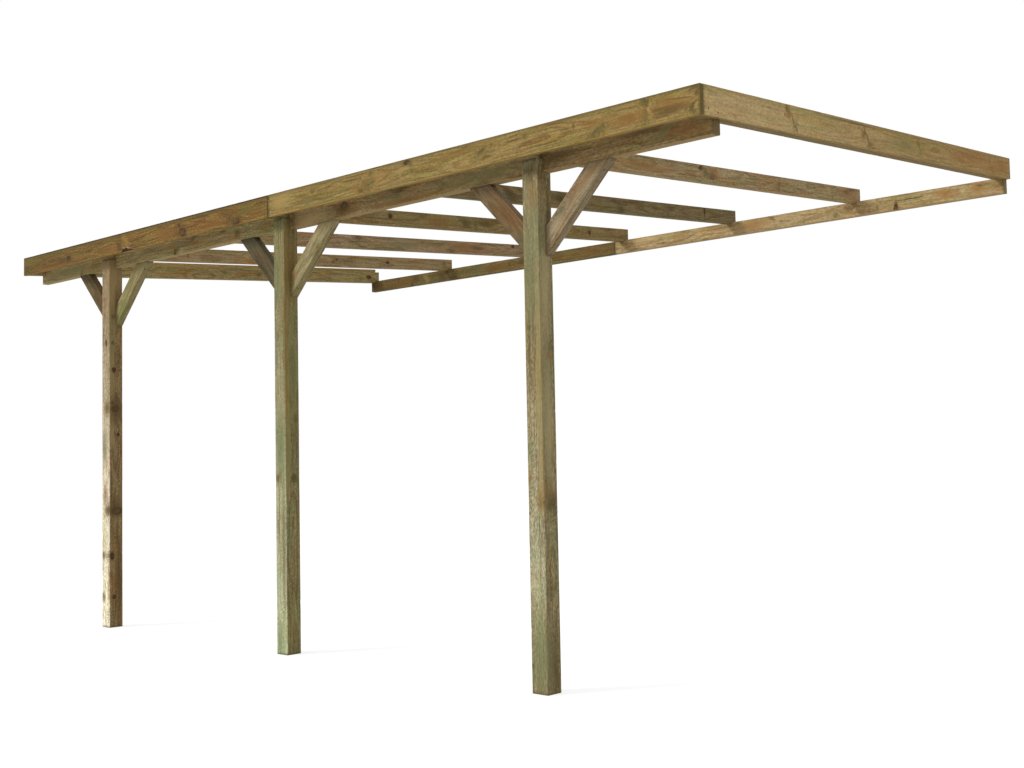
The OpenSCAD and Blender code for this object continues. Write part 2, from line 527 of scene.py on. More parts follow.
            mask = graph.add("Math.MULTIPLY", [graph.rise(wave, -0.3, 0.9), zone])
            tone = graph.lay(tone, self.SAWTOOTH, mask, self.saw, "MULTIPLY")
        return tone

    def _weather(self, wood: Wood, tone: Socket, grain: Socket) -> Socket:
        """Sapwood along an arris and a dull top.

        Args:
            wood: The material in the making.
            tone: Colour so far.
            grain: Noise along the grain.

        Returns:
            The colour.
        """
        graph, strip = wood.graph, self.strip
        along, across, outwards = graph.add("SeparateXYZ", [wood.local]).node.outputs
        half_w, half_d = wood.timber.width / 2, wood.timber.depth / 2
        if strip:
            on_face = graph.add("Math.DIVIDE", [graph.add("Math.ADD", [across, half_w]), strip.on_face * MM])
            on_side = graph.add("Math.SUBTRACT", [half_d, outwards])
            on_side = graph.add("Math.DIVIDE", [on_side, strip.on_side * MM])
            reach = graph.add("Math.MAXIMUM", [on_face, on_side])
            reach = graph.add("Math.MULTIPLY_ADD", [wood.patches("strip", 170, 300, 2), 1.1, reach])
            within = [graph.rise(along, (strip.start - 60) * MM, strip.start * MM)]
            within.append(graph.rise(along, strip.end * MM, (strip.end - 60) * MM))
            within = graph.add("Math.MULTIPLY", within)
            sapwood = graph.add("Math.MULTIPLY", [graph.rise(reach, 1.72, 1.42), within])
            tone = graph.lay(tone, linear(self.base, strip.gain), sapwood, strip.cover)
            rim = graph.add("Math.MULTIPLY", [graph.rise(reach, 1.62, 1.50), graph.rise(reach, 1.30, 1.42)])
            rim = graph.add("Math.MULTIPLY", [rim, within])
            tone = graph.lay(tone, linear(self.base, self.BLEACHED_RIM), rim, 0.35 * strip.cover)
        if self.weathered_top:
            top = graph.add("Math.MULTIPLY_ADD", [grain, 40 * MM, across])
            top = graph.rise(top, half_w - 20 * MM, half_w + 18 * MM)
            tone = graph.lay(tone, linear(self.base, self.DULL_TOP), top, self.weathered_top)
        return tone

    def _edges(self, wood: Wood, tone: Socket, grain: Socket) -> Socket:
        """Colours what lies along the arrises and at the sawn ends.

        Args:
            wood: The material in the making.
            tone: Colour so far.
            grain: Noise along the grain.

        Returns:
            The colour.
        """
        graph = wood.graph
        across = graph.add("SeparateXYZ", [wood.local]).node.outputs[1]
        half = wood.timber.width / 2
        # The low arris and the underside get lighter: partly wear, partly a painted highlight of light
        # bounced up from the ground.
        for level, low, high, gain in (
            (self.low_arris_wear_and_highlight, 5.0 * MM - half, 1.5 * MM - half, self.LOW_ARRIS),
            (self.high_arris, half - 12.0 * MM, half - 5.0 * MM, self.HIGH_ARRIS),
        ):
            if level:
                tone = graph.lay(tone, linear(self.base, gain), graph.rise(across, low, high), level)
        for plane in (wood.timber.start, wood.timber.end):
            along = graph.add("VectorMath.DOT_PRODUCT", [wood.place, tuple(plane.normal)], "Value")
            depth = graph.add("Math.SUBTRACT", [plane.offset, along])
            soaked = graph.add("Math.MULTIPLY_ADD", [grain, -30 * MM, depth])
            tone = graph.lay(tone, linear(self.base, self.SOAKED), graph.rise(soaked, 1 * MM, -15 * MM), 0.8)
            sawn = graph.rise(depth, 0.9 * MM, 0.3 * MM)
            tone = graph.lay(tone, linear(self.base, self.SAWN), sawn, 0.5)
        return tone


@dataclass(frozen=True)
class Plane:
    """The plane that a timber's end is sawn on, with its normal away from the timber."""

    point: Vector
    normal: Vector

    @property
    def offset(self) -> float:
        """Distance of the plane from the frame's origin, along its normal."""
        return self.point.dot(self.normal)

    def along(self, base: np.ndarray, grain: Vector) -> np.ndarray:
        """Distance along the grain from some points to the plane."""
        return (self.offset - base @ np.array(self.normal)) / float(grain.dot(self.normal))


@dataclass
class Vertices:
    """The places of a sweep's vertices in its timber's directions, the painted shade in their recesses, and
    where they broke out bare.
    """

    u: np.ndarray
    v: np.ndarray
    w: np.ndarray
    out_v: np.ndarray
    out_w: np.ndarray
    # Painted shade in checks, knot rims, nicks and break-outs, from 0 to 1.
    groove: np.ndarray
    bare: np.ndarray

    def on(self, side: Side) -> tuple[np.ndarray, np.ndarray]:
        """Places across a long face, and which vertices are on that face."""
        axis, sign = side.value
        across, outward = (self.v, self.out_w) if axis == "v" else (self.w, self.out_v)
        return across, outward * sign > 0.8


@dataclass
class Timber:
    """One planed timber: a swept section with the marks of its making and its years outdoors."""

    # How deep the planed faces, the rims of knots and the knots themselves lie, and how far a check
    # wanders from its line.
    HOLLOW, RIM, KNOT_SINK, WANDER = 0.15 * MM, 0.8 * MM, 0.3 * MM, 1.8 * MM
    # How nicks in an arris deepen with their noise, how far a sawn end is eased, and the angle in
    # degrees from which an edge is sharp.
    NICK, END_EASE, SHARP = 8 * MM, 0.8 * MM, 32.0
    # Width of the band beside an arris, and the two mesh lines in it, from the arris.
    BAND, BAND_LINES = 8 * MM, (2 * MM, 4.5 * MM)

    node: str
    slot: str
    finish: Pine
    origin: Vector
    grain: Vector
    face: Vector
    width: float
    depth: float
    start: Plane
    end: Plane
    arris: float = 3 * MM
    wane: float = 1.3 * MM
    marks: tuple[Mark, ...] = ()
    checks: tuple[Check, ...] = ()
    breakouts: tuple[Breakout, ...] = ()
    screws: tuple[Screw, ...] = ()
    cuts: tuple[tuple[Vector, Vector, float], ...] = ()
    line_step: float = 9 * MM
    station_step: float = 20 * MM
    screw_sink: float = 1.0 * MM
    screw_bore: float = 4.7 * MM
    bore_sides: int = 16

    @property
    def cross(self) -> Vector:
        """Direction across the seen face."""
        return self.face.cross(self.grain)

    @property
    def length(self) -> float:
        """Length along the middle line."""
        middle = np.array([self.origin])
        return float((self.end.along(middle, self.grain) - self.start.along(middle, self.grain))[0])

    def seat(self, screw: Screw) -> tuple[Vector, Vector]:
        """Middle of a screw's head, sunk into the wood, and the direction it faces."""
        axis, sign = screw.side.value
        across, out = (self.cross, self.face) if axis == "v" else (self.face, self.cross)
        half = (self.depth if axis == "v" else self.width) / 2 - self.screw_sink
        spot = self.origin + (self.grain * screw.along + across * screw.across) * MM
        return spot + out * sign * half, out * sign

    def _lines(self, half: float, side: Side) -> list[float]:
        """Places of the mesh's long lines across one face.

        Args:
            half: Half the face's width.
            side: The face.

        Returns:
            Places from low to high.
        """
        edge = half - self.arris
        inner = edge - self.BAND
        count = max(2, round(2 * inner / self.line_step))
        lines = [sign * (edge - step) for sign in (-1, 1) for step in (0.0, *self.BAND_LINES)]
        lines += list(np.linspace(-inner, inner, count + 1))
        for check in self.checks:
            if check.side is side:
                spot, gap = check.across * MM, check.opening * MM / 2
                lines = [p for p in lines if abs(p - spot) > 4.4 * gap] + [spot - gap, spot, spot + gap]
        for mark in self.marks:
            if mark.side is side and mark.kind is KNOT:
                for share in (-0.98, -0.6, 0.6, 0.98):
                    spot = (mark.across + share * mark.half_height) * MM
                    if abs(spot) < inner and min(abs(spot - p) for p in lines) > 2.2 * MM:
                        lines.append(spot)
        return sorted(lines)

    def _outline(self) -> tuple[np.ndarray, np.ndarray]:
        """Section of the timber.

        Returns:
            Points (v, w) round it, and the outward direction at each.
        """
        half_w, half_d, r = self.width / 2, self.depth / 2, self.arris
        points: list[tuple[float, float]] = []
        outward: list[tuple[float, float]] = []
        for quarter, side in enumerate((BACK, HIGH, FACE, LOW)):
            on_v = side.value[0] == "v"
            sign = 1 if quarter < 2 else -1
            for place in self._lines(half_w if on_v else half_d, side)[::sign]:
                points.append((place, -half_d * sign) if on_v else (half_w * sign, place))
                outward.append((0, -sign) if on_v else (sign, 0))
            corner_v = (half_w - r) * (1 if quarter < 2 else -1)
            corner_w = (half_d - r) * (1 if quarter in (1, 2) else -1)
            for step in (30, 60):
                angle = math.radians(90 * (quarter - 1) + step)
                points.append((corner_v + r * math.cos(angle), corner_w + r * math.sin(angle)))
                outward.append((math.cos(angle), math.sin(angle)))
        return np.array(points), np.array(outward, float)

    def _stations(self) -> np.ndarray:
        """Places of the mesh's rings along the timber, as shares of its length."""
        length = self.length / MM
        places = list(np.linspace(8, length - 8, max(3, round(length * MM / self.station_step))))
        places += [0.9, 3.0, length - 3.0, length - 0.9, length]
        for mark in self.marks:
            if mark.kind is KNOT:
                places += [mark.along + mark.half_length * s for s in (-1.0, -0.8, -0.4, 0, 0.4, 0.8, 1.0)]
        for check in self.checks:
            places += list(np.linspace(check.start, check.end, 2 + round((check.end - check.start) / 14)))
        for broken in self.breakouts:
            places += list(np.linspace(broken.start - 6, broken.end + 6, 60))
        kept = [0.0]
        for place in sorted(p for p in places if 0 < p <= length):
            if place - kept[-1] > 0.85:
                kept.append(place)
        kept[-1] = length
        return np.array(kept) / length

    def _noise(self, name: str, u: np.ndarray, wave: float) -> np.ndarray:
        """Smooth noise along the timber.

        Args:
            name: What it is for, which seeds it.
            u: Places along the timber.
            wave: Its longest wave.

        Returns:
            Values from about -1 to 1.
        """
        draw = random.Random(f"{self.node} {name}")
        total = np.zeros_like(u)
        for octave in range(4):
            turns = 2 * math.pi / wave * (1.9**octave) * draw.uniform(0.85, 1.15)
            total += np.sin(u * turns + draw.uniform(0, 6.3)) * 0.62**octave
        return total / 1.7

    def _dent(self, at: Vertices) -> None:
        """Sinks what is lower than the planed faces: hollows, the rims of knots, and checks, and paints
        shade into the rims and the checks.
        """
        lie = self._noise("lie", at.u + 2 * at.v + 3 * at.w, 0.55)
        relief = -self.HOLLOW * np.clip(1 + lie, 0.1, 2)
        for mark in self.marks:
            if mark.kind is KNOT:
                across, here = at.on(mark.side)
                off_u = (at.u / MM - mark.along) / mark.half_length
                off_v = (across / MM - mark.across) / mark.half_height
                away = np.hypot(off_u, off_v)
                rim = np.exp(-(((away - 0.9) / 0.14) ** 2)) * here
                relief -= self.RIM * rim + self.KNOT_SINK * here * (away < 0.85)
                # Painted shade in the knot's sunk rim.
                at.groove = np.maximum(at.groove, 0.55 * rim)
        for check in self.checks:
            across, here = at.on(check.side)
            share = np.clip((at.u / MM - check.start) / (check.end - check.start), 0, 1)
            gape = np.sin(math.pi * share) ** 0.6 * here
            away = (across / MM - check.across) / check.opening
            middle = np.exp(-((away / 0.3) ** 2)) * gape
            relief -= check.depth * MM * middle
            # Painted shade down the check.
            at.groove = np.maximum(at.groove, middle)
            off_edge = (self.width if check.side.value[0] == "v" else self.depth) / 2 - np.abs(across)
            wander = self._noise(f"check {check.start}", at.u, 0.16) * self.WANDER
            pull = wander * np.exp(-((across / MM - check.across) / 7) ** 2) * (off_edge > 4 * MM) * here
            if check.side.value[0] == "v":
                at.v = at.v + pull
            else:
                at.w = at.w + pull
        at.v = at.v + relief * at.out_v
        at.w = at.w + relief * at.out_w

    def _wear(self, at: Vertices) -> None:
        """Rounds the arrises unevenly and breaks out what has splintered off, and paints shade into the
        nicks and the break-outs' deep parts.
        """
        half_w, half_d = self.width / 2, self.depth / 2
        for index, (sign_v, sign_w) in enumerate(((-1, -1), (-1, 1), (1, -1), (1, 1))):
            wander = self._noise(f"arris {index}", at.u, 0.9)
            nicks = np.clip(self._noise(f"nick {index}", at.u, 0.12) - 0.8, 0, 1) * self.NICK
            r = self.arris + self.wane * np.clip(0.35 + 0.65 * wander, 0, 1) + nicks
            off_v, off_w = r - half_w + sign_v * at.v, r - half_d + sign_w * at.w
            away = np.maximum(np.hypot(off_v, off_w), 1e-9)
            near = (off_v > 0) & (off_w > 0) & (away > r)
            at.v = np.where(near, sign_v * (half_w - r + off_v / away * r), at.v)
            at.w = np.where(near, sign_w * (half_d - r + off_w / away * r), at.w)
            # Painted shade in the nicks.
            worn = np.where(near, np.clip(nicks / (6 * MM), 0, 0.35), 0)
            at.groove = np.maximum(at.groove, worn)
        for broken in self.breakouts:
            share = np.clip((at.u / MM - broken.start) / (broken.end - broken.start), 0, 1)
            rise = np.clip(share / 0.1, 0, 1) * np.clip((1 - share) / 0.62, 0, 1) ** 0.8
            rough = 1 + 0.18 * self._noise("break", at.u * 9 + at.v * 20, 0.4)
            high = broken.height * MM * rise * rough + 1e-6
            deep = broken.depth * MM * rise**0.5 * rough + 1e-6
            inside = (at.v + half_w) / high + (half_d - at.w) / deep
            torn = (inside < 1) & (share > 0) & (share < 1)
            at.v = np.where(torn, at.v + (1 - inside) * high / 2, at.v)
            at.w = np.where(torn, at.w - (1 - inside) * deep / 2, at.w)
            at.bare = np.where(torn & (inside > 0.6), 1.0, at.bare)
            # Painted shadow in the break-out's deep part.
            at.groove = np.where(torn & (inside < 0.7), 0.8, at.groove)

    def build(self) -> bpy.types.Object:
        """Builds and dresses the timber, which then stands for its node.

        Returns:
            The finished piece.
        """
        outline, outward = self._outline()
        shares = self._stations()
        rings, count = len(shares), len(outline)
        grain, cross, face = (np.array(a) for a in (self.grain, self.cross, self.face))
        base = np.array(self.origin) + outline[:, :1] * cross + outline[:, 1:] * face
        first, last = self.start.along(base, self.grain), self.end.along(base, self.grain)
        rows = [np.repeat(a[None, :], rings, 0) for a in (*outline.T, *outward.T)]
        flat = np.zeros((rings, count))
        at = Vertices(first + shares[:, None] * (last - first), *rows, flat, flat)
        self._dent(at)
        self._wear(at)
        for end in (0, -1):
            at.v[end] *= 1 - self.END_EASE / (self.width / 2)
            at.w[end] *= 1 - self.END_EASE / (self.depth / 2)
        places = at.u[..., None] * grain + at.v[..., None] * cross + at.w[..., None] * face
        low = np.arange(rings * count).reshape(rings, count)
        quads = np.stack([low[:-1], low[1:], np.roll(low[1:], -1, 1), np.roll(low[:-1], -1, 1)], -1)
        faces = [tuple(q) for q in quads.reshape(-1, 4).tolist()]
        faces += [tuple(low[0].tolist()), tuple(low[-1].tolist()[::-1])]
        # Painted shade in the recesses, and the bare wood of the break-outs.
        worn = {"groove": at.groove.reshape(-1), "bare": at.bare.reshape(-1)}
        points = (places + np.array(self.origin)).reshape(-1, 3)
        piece = new_piece(f"{self.node}_timber", points, faces, worn)
        if volume(piece.data) < 0:
            piece.data.flip_normals()
        self._machine(piece)
        finish_mesh(piece.data, self.SHARP)
        piece.data.materials.clear()
        piece.data.materials.append(self.finish.material(self))
        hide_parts(self.node)
        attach(piece, ROOT)
        return piece

    def _machine(self, piece: bpy.types.Object) -> None:
        """Saws the notches and bores the seats of the screws.

        Args:
            piece: The piece, which has its place in its mesh.
        """
        points: list[Vector] = []
        faces: list[tuple[int, ...]] = []
        for low, high, turn in self.cuts:
            first, middle, half = len(points), (low + high) / 2, (high - low) / 2
            spin = Matrix.Rotation(math.radians(turn), 3, "X")
            for x, y, z in ((x, y, z) for x in (-1, 1) for y in (-1, 1) for z in (-1, 1)):
                points.append(middle + spin @ Vector((x * half.x, y * half.y, z * half.z)))
            box = ((0, 1, 3, 2), (4, 6, 7, 5), (0, 4, 5, 1), (2, 3, 7, 6), (0, 2, 6, 4), (1, 5, 7, 3))
            faces += [tuple(first + corner for corner in side) for side in box]
        count = self.bore_sides
        for screw in self.screws:
            spot, out = self.seat(screw)
            first, turn = len(points), out.to_track_quat("Z", "Y")
            for height in (-0.5 * MM, self.screw_sink + 1.5 * MM):
                for step in range(count):
                    angle = step * math.tau / count
                    ring = Vector((math.cos(angle), math.sin(angle), 0)) * self.screw_bore
                    points.append(spot + turn @ (ring + Vector((0, 0, height))))
            floor, top = first, first + count
            faces += [tuple(range(top - 1, floor - 1, -1)), tuple(range(top, top + count))]
            for step in range(count):
                after = (step + 1) % count
                faces.append((floor + step, floor + after, top + after, top + step))
        if not points:
            return
        # The faces that the blade cuts, the notches and the screw seats, get painted shade.
        blade = new_piece("blade", points, faces, {"groove": np.full(len(points), 0.35)})
        if volume(blade.data) < 0:
            blade.data.flip_normals()
        modifier = piece.modifiers.new("saw", "BOOLEAN")
        modifier.operation, modifier.solver, modifier.object = "DIFFERENCE", "EXACT", blade
        bake_modifiers(piece)
        spent = blade.data
        bpy.data.objects.remove(blade)
        bpy.data.meshes.remove(spent)


def new_piece(
    name: str, points: Sequence, faces: Sequence, layers: dict[str, np.ndarray] | None = None
) -> bpy.types.Object:
    """Adds an object with a new mesh.

    Args:
        name: Its name.
        points: Its vertices, in the part's frame.
        faces: Its faces.
        layers: Named values for its vertices.

    Returns:
        The object.
    """
    mesh = bpy.data.meshes.new(name)
    mesh.from_pydata([tuple(p) for p in points], [], faces)
    for layer, values in (layers or {}).items():
        vectors = values.ndim == 2
        made = mesh.attributes.new(layer, "FLOAT_VECTOR" if vectors else "FLOAT", "POINT")
        made.data.foreach_set("vector" if vectors else "value", values.reshape(-1).astype(np.float32))
    piece = bpy.data.objects.new(name, mesh)
    bpy.context.scene.collection.objects.link(piece)
    return piece


def volume(mesh: bpy.types.Mesh) -> float:
    """Signed volume of a closed mesh, which is below 0 where its faces point inwards."""
    mesh.calc_loop_triangles()
    corners = np.array([v.co for v in mesh.vertices])
    index = np.empty(len(mesh.loop_triangles) * 3, int)
    mesh.loop_triangles.foreach_get("vertices", index)
    a, b, c = (corners[index.reshape(-1, 3)[:, i]] for i in range(3))
    return float((a * np.cross(b, c)).sum() / 6)


def finish_mesh(mesh: bpy.types.Mesh, angle: float) -> None:
    """Shades a mesh smooth, apart from edges sharper than an angle in degrees."""
    mesh.shade_smooth()
    mesh.set_sharp_from_angle(angle=math.radians(angle))


def bake_modifiers(piece: bpy.types.Object) -> None:
    """Turns a piece's modifiers into plain mesh and removes them."""
    bpy.context.view_layer.update()
    graph = bpy.context.evaluated_depsgraph_get()
    made = bpy.data.meshes.new_from_object(piece.evaluated_get(graph), depsgraph=graph)
    piece.modifiers.clear()
    old, piece.data = piece.data, made
    bpy.data.meshes.remove(old)


def straight(
    node: str, slot: str, finish: Pine, trim: tuple[float, float] = (0.0, 0.0), **more: object
) -> Timber:
    """Lays a timber out from its node's box, seen from the front.

    Args:
        node: Its CAD node, which stands or lies along the wall.
        slot: Its material slot, which the timber keeps.
        finish: Its finish.
        trim: Length taken off at its start and end.
        **more: Further fields of Timber.

    Returns:
        The timber, not built yet.
    """
    low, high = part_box(node)
    middle, size = (low + high) / 2, high - low
    grain = UP if size.z > size.x else RIGHT
    start = middle - grain * (size.dot(grain) / 2 - trim[0])
    end = middle + grain * (size.dot(grain) / 2 - trim[1])
    width = size.x if grain is UP else size.z
    planes = Plane(start, -grain), Plane(end, grain)
    return Timber(node, slot, finish, start, grain, FORTH, width, size.y, *planes, **more)


def scattered(node: str, length: float, half: float, sides: Sequence[Side], gap: float) -> tuple[Mark, ...]:
    """Knots on faces that aren't laid out one by one.

    Args:
        node: The timber's node, which seeds them.
        length: The timber's length in mm.
        half: Half the face's width in mm, less the arris.
        sides: Faces that get them.
        gap: Usual distance between two in mm.

    Returns:
        The marks.
    """
    draw = random.Random(node + " knots")
    found = []
    for side in sides:
        along = draw.uniform(200, gap)
        while along < length - 80:
            radius = draw.uniform(6, 14)
            kind = draw.choice((KNOT, KNOT, SPIKE, RUST, SOIL))
            stretch = 1.0 if kind in (KNOT, SPIKE) else 3.0
            found.append(
                Mark(
                    kind, along, draw.uniform(-0.6, 0.6) * half, radius * stretch,
                    radius * draw.uniform(0.6, 1.3), draw.uniform(-25, 25), side,
                )
            )
            along += draw.uniform(0.6, 1.5) * gap
    return tuple(found)


class SubAssembly:
    """Timbers that are made and put up as one group."""

    def timbers(self) -> list[Timber]:
        """Lays the timbers out."""
        raise NotImplementedError

    def build(self) -> list[tuple[Timber, bpy.types.Object]]:
        """Builds and dresses the timbers, and pairs each with its piece."""
        return [(timber, timber.build()) for timber in self.timbers()]


@dataclass
class PostRow(SubAssembly):
    """The three posts, whose heads are cut away behind to seat the beam."""

    slot: str = "post"
    finishes: dict[str, Pine] = field(
        default_factory=lambda: {
            # Each post's ramp lightens its front face lower down: partly painted light from the bright
            # ground, partly the wood's own tone.
            "post_left": Pine(
                base="#826e4c", rust=0.6, olive=0.3, soil=0.7, pale=0.3, speckle=0.75, saw=0.5,
                painted_light_and_tone_ramp=(0.98, 0.82, 0.68, 0.38, 0.15, 0.06), painted_light_and_tone_colour="#f2ecd6", pith=(30.0, 4.0),
                strip=Strip(1150, 2260, 1.0, 34.0, (1.15, 1.25, 1.1), 0.7),
            ),
            "post_middle": Pine(
                base="#7f7650", rust=0.3, olive=0.4, salts=0.4, soil=0.55, pale=0.3, speckle=0.6,
                saw=0.5, painted_light_and_tone_ramp=(0.98, 0.45, 0.40, 0.22, 0.09, 0.05), painted_light_and_tone_colour="#cdd3b5",
                pith=(34.0, -6.0), strip=Strip(850, 2300, 1.0, 26.0, (1.15, 1.00, 0.74), 0.6),
            ),
            "post_right": Pine(
                base="#877b5a", rust=0.3, olive=0.35, salts=0.4, soil=0.7, pale=0.35, speckle=0.75,
                saw=0.45, painted_light_and_tone_ramp=(0.0, 0.5, 0.35, 0.05, 0.0, 0.2), painted_light_and_tone_colour="#bebc9e",
                pith=(38.0, 8.0), strip=Strip(800, 1800, 30.0, 10.0, (1.22, 1.08, 0.80), 0.6),
            ),
        }
    )
    marks: dict[str, tuple[Mark, ...]] = field(
        default_factory=lambda: {
            "post_left": laid_out({
                SPIKE: [(188, 27, 17, 14), (446, 25, 14, 12), (729, -21, 18, 17), (1367, -9, 28, 14)],
                KNOT: [(1782, -5, 16, 8)],
                RUST: [(830, 5, 60, 22), (300, -38, 120, 7)],
                SALTS: [(1120, 10, 90, 25)],
            }) + laid_out({
                KNOT: [
                    (190, 13, 11, 11), (443, 28, 18, 12), (723, -4, 20, 34), (1202, -14, 9, 8),
                    (1365, 6, 18, 22), (1402, 26, 7, 6), (1611, 14, 14, 10), (1782, 22, 9, 7),
                    (1950, 19, 11, 9),
                ],
                SOIL: [(745, 5, 60, 40), (1370, 0, 90, 40), (300, -20, 260, 16)],
                # These pale marks are painted light: the side face lighter towards the head.
                PALE: [(2120, 26, 170, 20), (2215, 6, 90, 60)],
                SALTS: [(1850, 24, 120, 18)],
            }, LOW),
            "post_middle": laid_out({
                SALTS: [(1090, 0, 160, 40), (60, 15, 100, 34), (2010, 10, 120, 30)],
                RUST: [
                    (935, 10, 34, 22, -30), (560, -24, 300, 12), (1750, -36, 420, 9), (720, 14, 150, 6),
                ],
                SOIL: [(925, 22, 18, 12, -30)],
            }) + laid_out({
                SOIL: [(922, -12, 24, 20), (1241, -18, 26, 16), (1572, -4, 15, 9)],
                RUST: [(2060, 0, 160, 34)],
                SALTS: [(1500, -10, 200, 20)],
            }, LOW),
            "post_right": laid_out({
                KNOT: [(116, 37, 8, 6), (1578, 23, 8, 7)],
                RUST: [
                    (1590, 25, 24, 12), (1830, -22, 34, 10), (928, 34, 34, 10), (825, -25, 32, 15),
                    (2150, -12, 70, 26),
                ],
                SPIKE: [(1792, -19, 15, 12)],
                SALTS: [(170, -6, 150, 44), (2040, -14, 70, 30), (1850, 4, 240, 50)],
                # The mark at 2258 is a painted shadow of the fascia on the post's head.
                SOIL: [(2258, 0, 34, 44), (1690, -8, 220, 8), (1500, 20, 160, 7)],
            }) + laid_out({
                SOIL: [
                    (812, 0, 36, 34, 30), (1500, -12, 36, 18, -20), (1590, -38, 70, 8), (130, 0, 130, 34),
                    (2060, -24, 120, 16),
                ],
                RUST: [(850, 10, 50, 26), (1450, -6, 30, 24)],
                SALTS: [(1250, 16, 240, 18)],
                PALE: [(1740, 8, 240, 30), (1180, 4, 220, 26)],
            }, LOW),
        }
    )

    def timbers(self) -> list[Timber]:
        """Lays the posts out."""
        beam_low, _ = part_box("front_beam_left")
        posts = []
        for index, (node, finish) in enumerate(self.finishes.items()):
            low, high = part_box(node)
            margin = Vector((10, 50, 50)) * MM
            seat = (Vector((low.x, beam_low.y, beam_low.z)) - Vector((margin.x, 0, 0)), high + margin, 0.0)
            checks = (
                Check(350 + 200 * index, 1250 + 150 * index, -12, 9, 2.4, HIGH),
                Check(900, 1900 - 200 * index, 8, 8, 2.0, BACK),
            )
            marks = self.marks[node] + scattered(node, 2250, 40, (BACK, HIGH), 520)
            posts.append(straight(node, self.slot, finish, marks=marks, checks=checks, cuts=(seat,)))
        return posts


@dataclass
class FrontBeam(SubAssembly):
    """The beam on the post heads, in two lengths."""

    slot: str = "front_beam"
    finish: Pine = Pine(
        base="#98895f", rust=0.45, olive=0.5, soil=0.6, speckle=0.7, salts=0.2, low_arris_wear_and_highlight=0.35
    )

    def timbers(self) -> list[Timber]:
        """Lays both lengths out."""
        left = laid_out({
            SALTS: [(420, 5, 150, 26)],
            RUST: [
                (700, -10, 160, 16), (1590, 8, 80, 16), (1880, -4, 90, 14), (2270, -20, 50, 18),
                (2560, 10, 70, 12),
            ],
            SOIL: [(1673, -20, 24, 15, 20), (2284, 0, 26, 24, 60)],
            PALE: [(1712, -34, 24, 8)],
        })
        right = laid_out({
            KNOT: [(491, 11, 24, 18, 12)],
            SOIL: [
                # The marks at 78 and 1900 are painted shadows, right of the middle and right posts.
                (470, -8, 60, 30), (78, 0, 18, 60), (1500, -38, 34, 8), (1900, 10, 120, 30),
                (2400, 28, 130, 14),
            ],
            RUST: [(520, -14, 70, 18), (960, -28, 200, 10), (2260, 30, 80, 9), (2600, 0, 90, 30)],
            PALE: [(210, -14, 110, 34)],
            SALTS: [(880, -8, 60, 20), (1450, 0, 240, 26), (2480, 8, 60, 16, 35)],
        })
        marks = {"front_beam_left": left, "front_beam_right": right}
        browner = replace(self.finish, base="#917c56", olive=0.4)
        tones = {"front_beam_left": self.finish, "front_beam_right": browner}
        return [
            straight(
                node, self.slot, tones[node], marks=seen + scattered(node, 2700, 38, (BACK, HIGH, LOW), 560),
                checks=(Check(700, 1500, -6, 6, 1.8, BACK),),
            )
            for node, seen in marks.items()
        ]


@dataclass
class WallPlate(SubAssembly):
    """The plate that is bolted to the wall, in two lengths that nearly touch."""

    slot: str = "wall_plate"
    joint: float = 0.5 * MM
    left: Pine = Pine(
        base="#6b5b32", rust=0.8, olive=0.6, soil=0.8, salts=0.4, pale=0.4, speckle=0.6,
        painted_light_and_tone_ramp=(0.5, 0.4, 0.25, 0.0, 0.0, 0.0), painted_light_and_tone_colour="#4e3c18",
    )
    right: Pine = Pine(base="#9f8a64", rust=0.4, olive=0.45, soil=0.3, pale=0.4, speckle=0.5, low_arris_wear_and_highlight=0.3)

    def timbers(self) -> list[Timber]:
        """Lays both lengths out."""
        left = laid_out({
            SOIL: [
                # The mark at 880 is a painted shadow of the second rafter.
                (40, 0, 34, 30), (560, 10, 40, 24), (1620, 2, 14, 14), (880, 0, 50, 44),
                (1780, 10, 60, 20),
            ],
            RUST: [(380, -4, 240, 30), (1500, 0, 160, 26), (2450, 4, 200, 30)],
            SPIKE: [(650, 0, 14, 34, 35)],
            PALE: [(690, -6, 26, 40, 35)],
            SALTS: [(1260, 0, 90, 30), (1900, 0, 100, 30)],
        })
        right = laid_out({
            SPIKE: [(1741, -18, 14, 16), (2023, -14, 8, 26), (395, 14, 20, 12), (2447, -4, 10, 16, 20)],
            SOIL: [(410, -20, 40, 7), (1290, 22, 26, 9, -30), (2667, 22, 16, 9), (1830, 10, 30, 20)],
            RUST: [(560, 12, 60, 14), (1150, 5, 100, 26), (2450, 4, 60, 24), (2640, 0, 40, 38)],
            PALE: [(300, 24, 120, 14)],
        })
        return [
            straight(
                "wall_plate_left", self.slot, self.left, (0.0, self.joint),
                marks=left + scattered("wall_plate_left", 2600, 38, (HIGH, LOW), 620),
            ),
            straight(
                "wall_plate_right", self.slot, self.right, (self.joint, 0.0),
                marks=right + scattered("wall_plate_right", 2700, 38, (HIGH, LOW), 620),
                checks=(Check(2133, 2325, 9, 7, 5.0),),
            ),
        ]


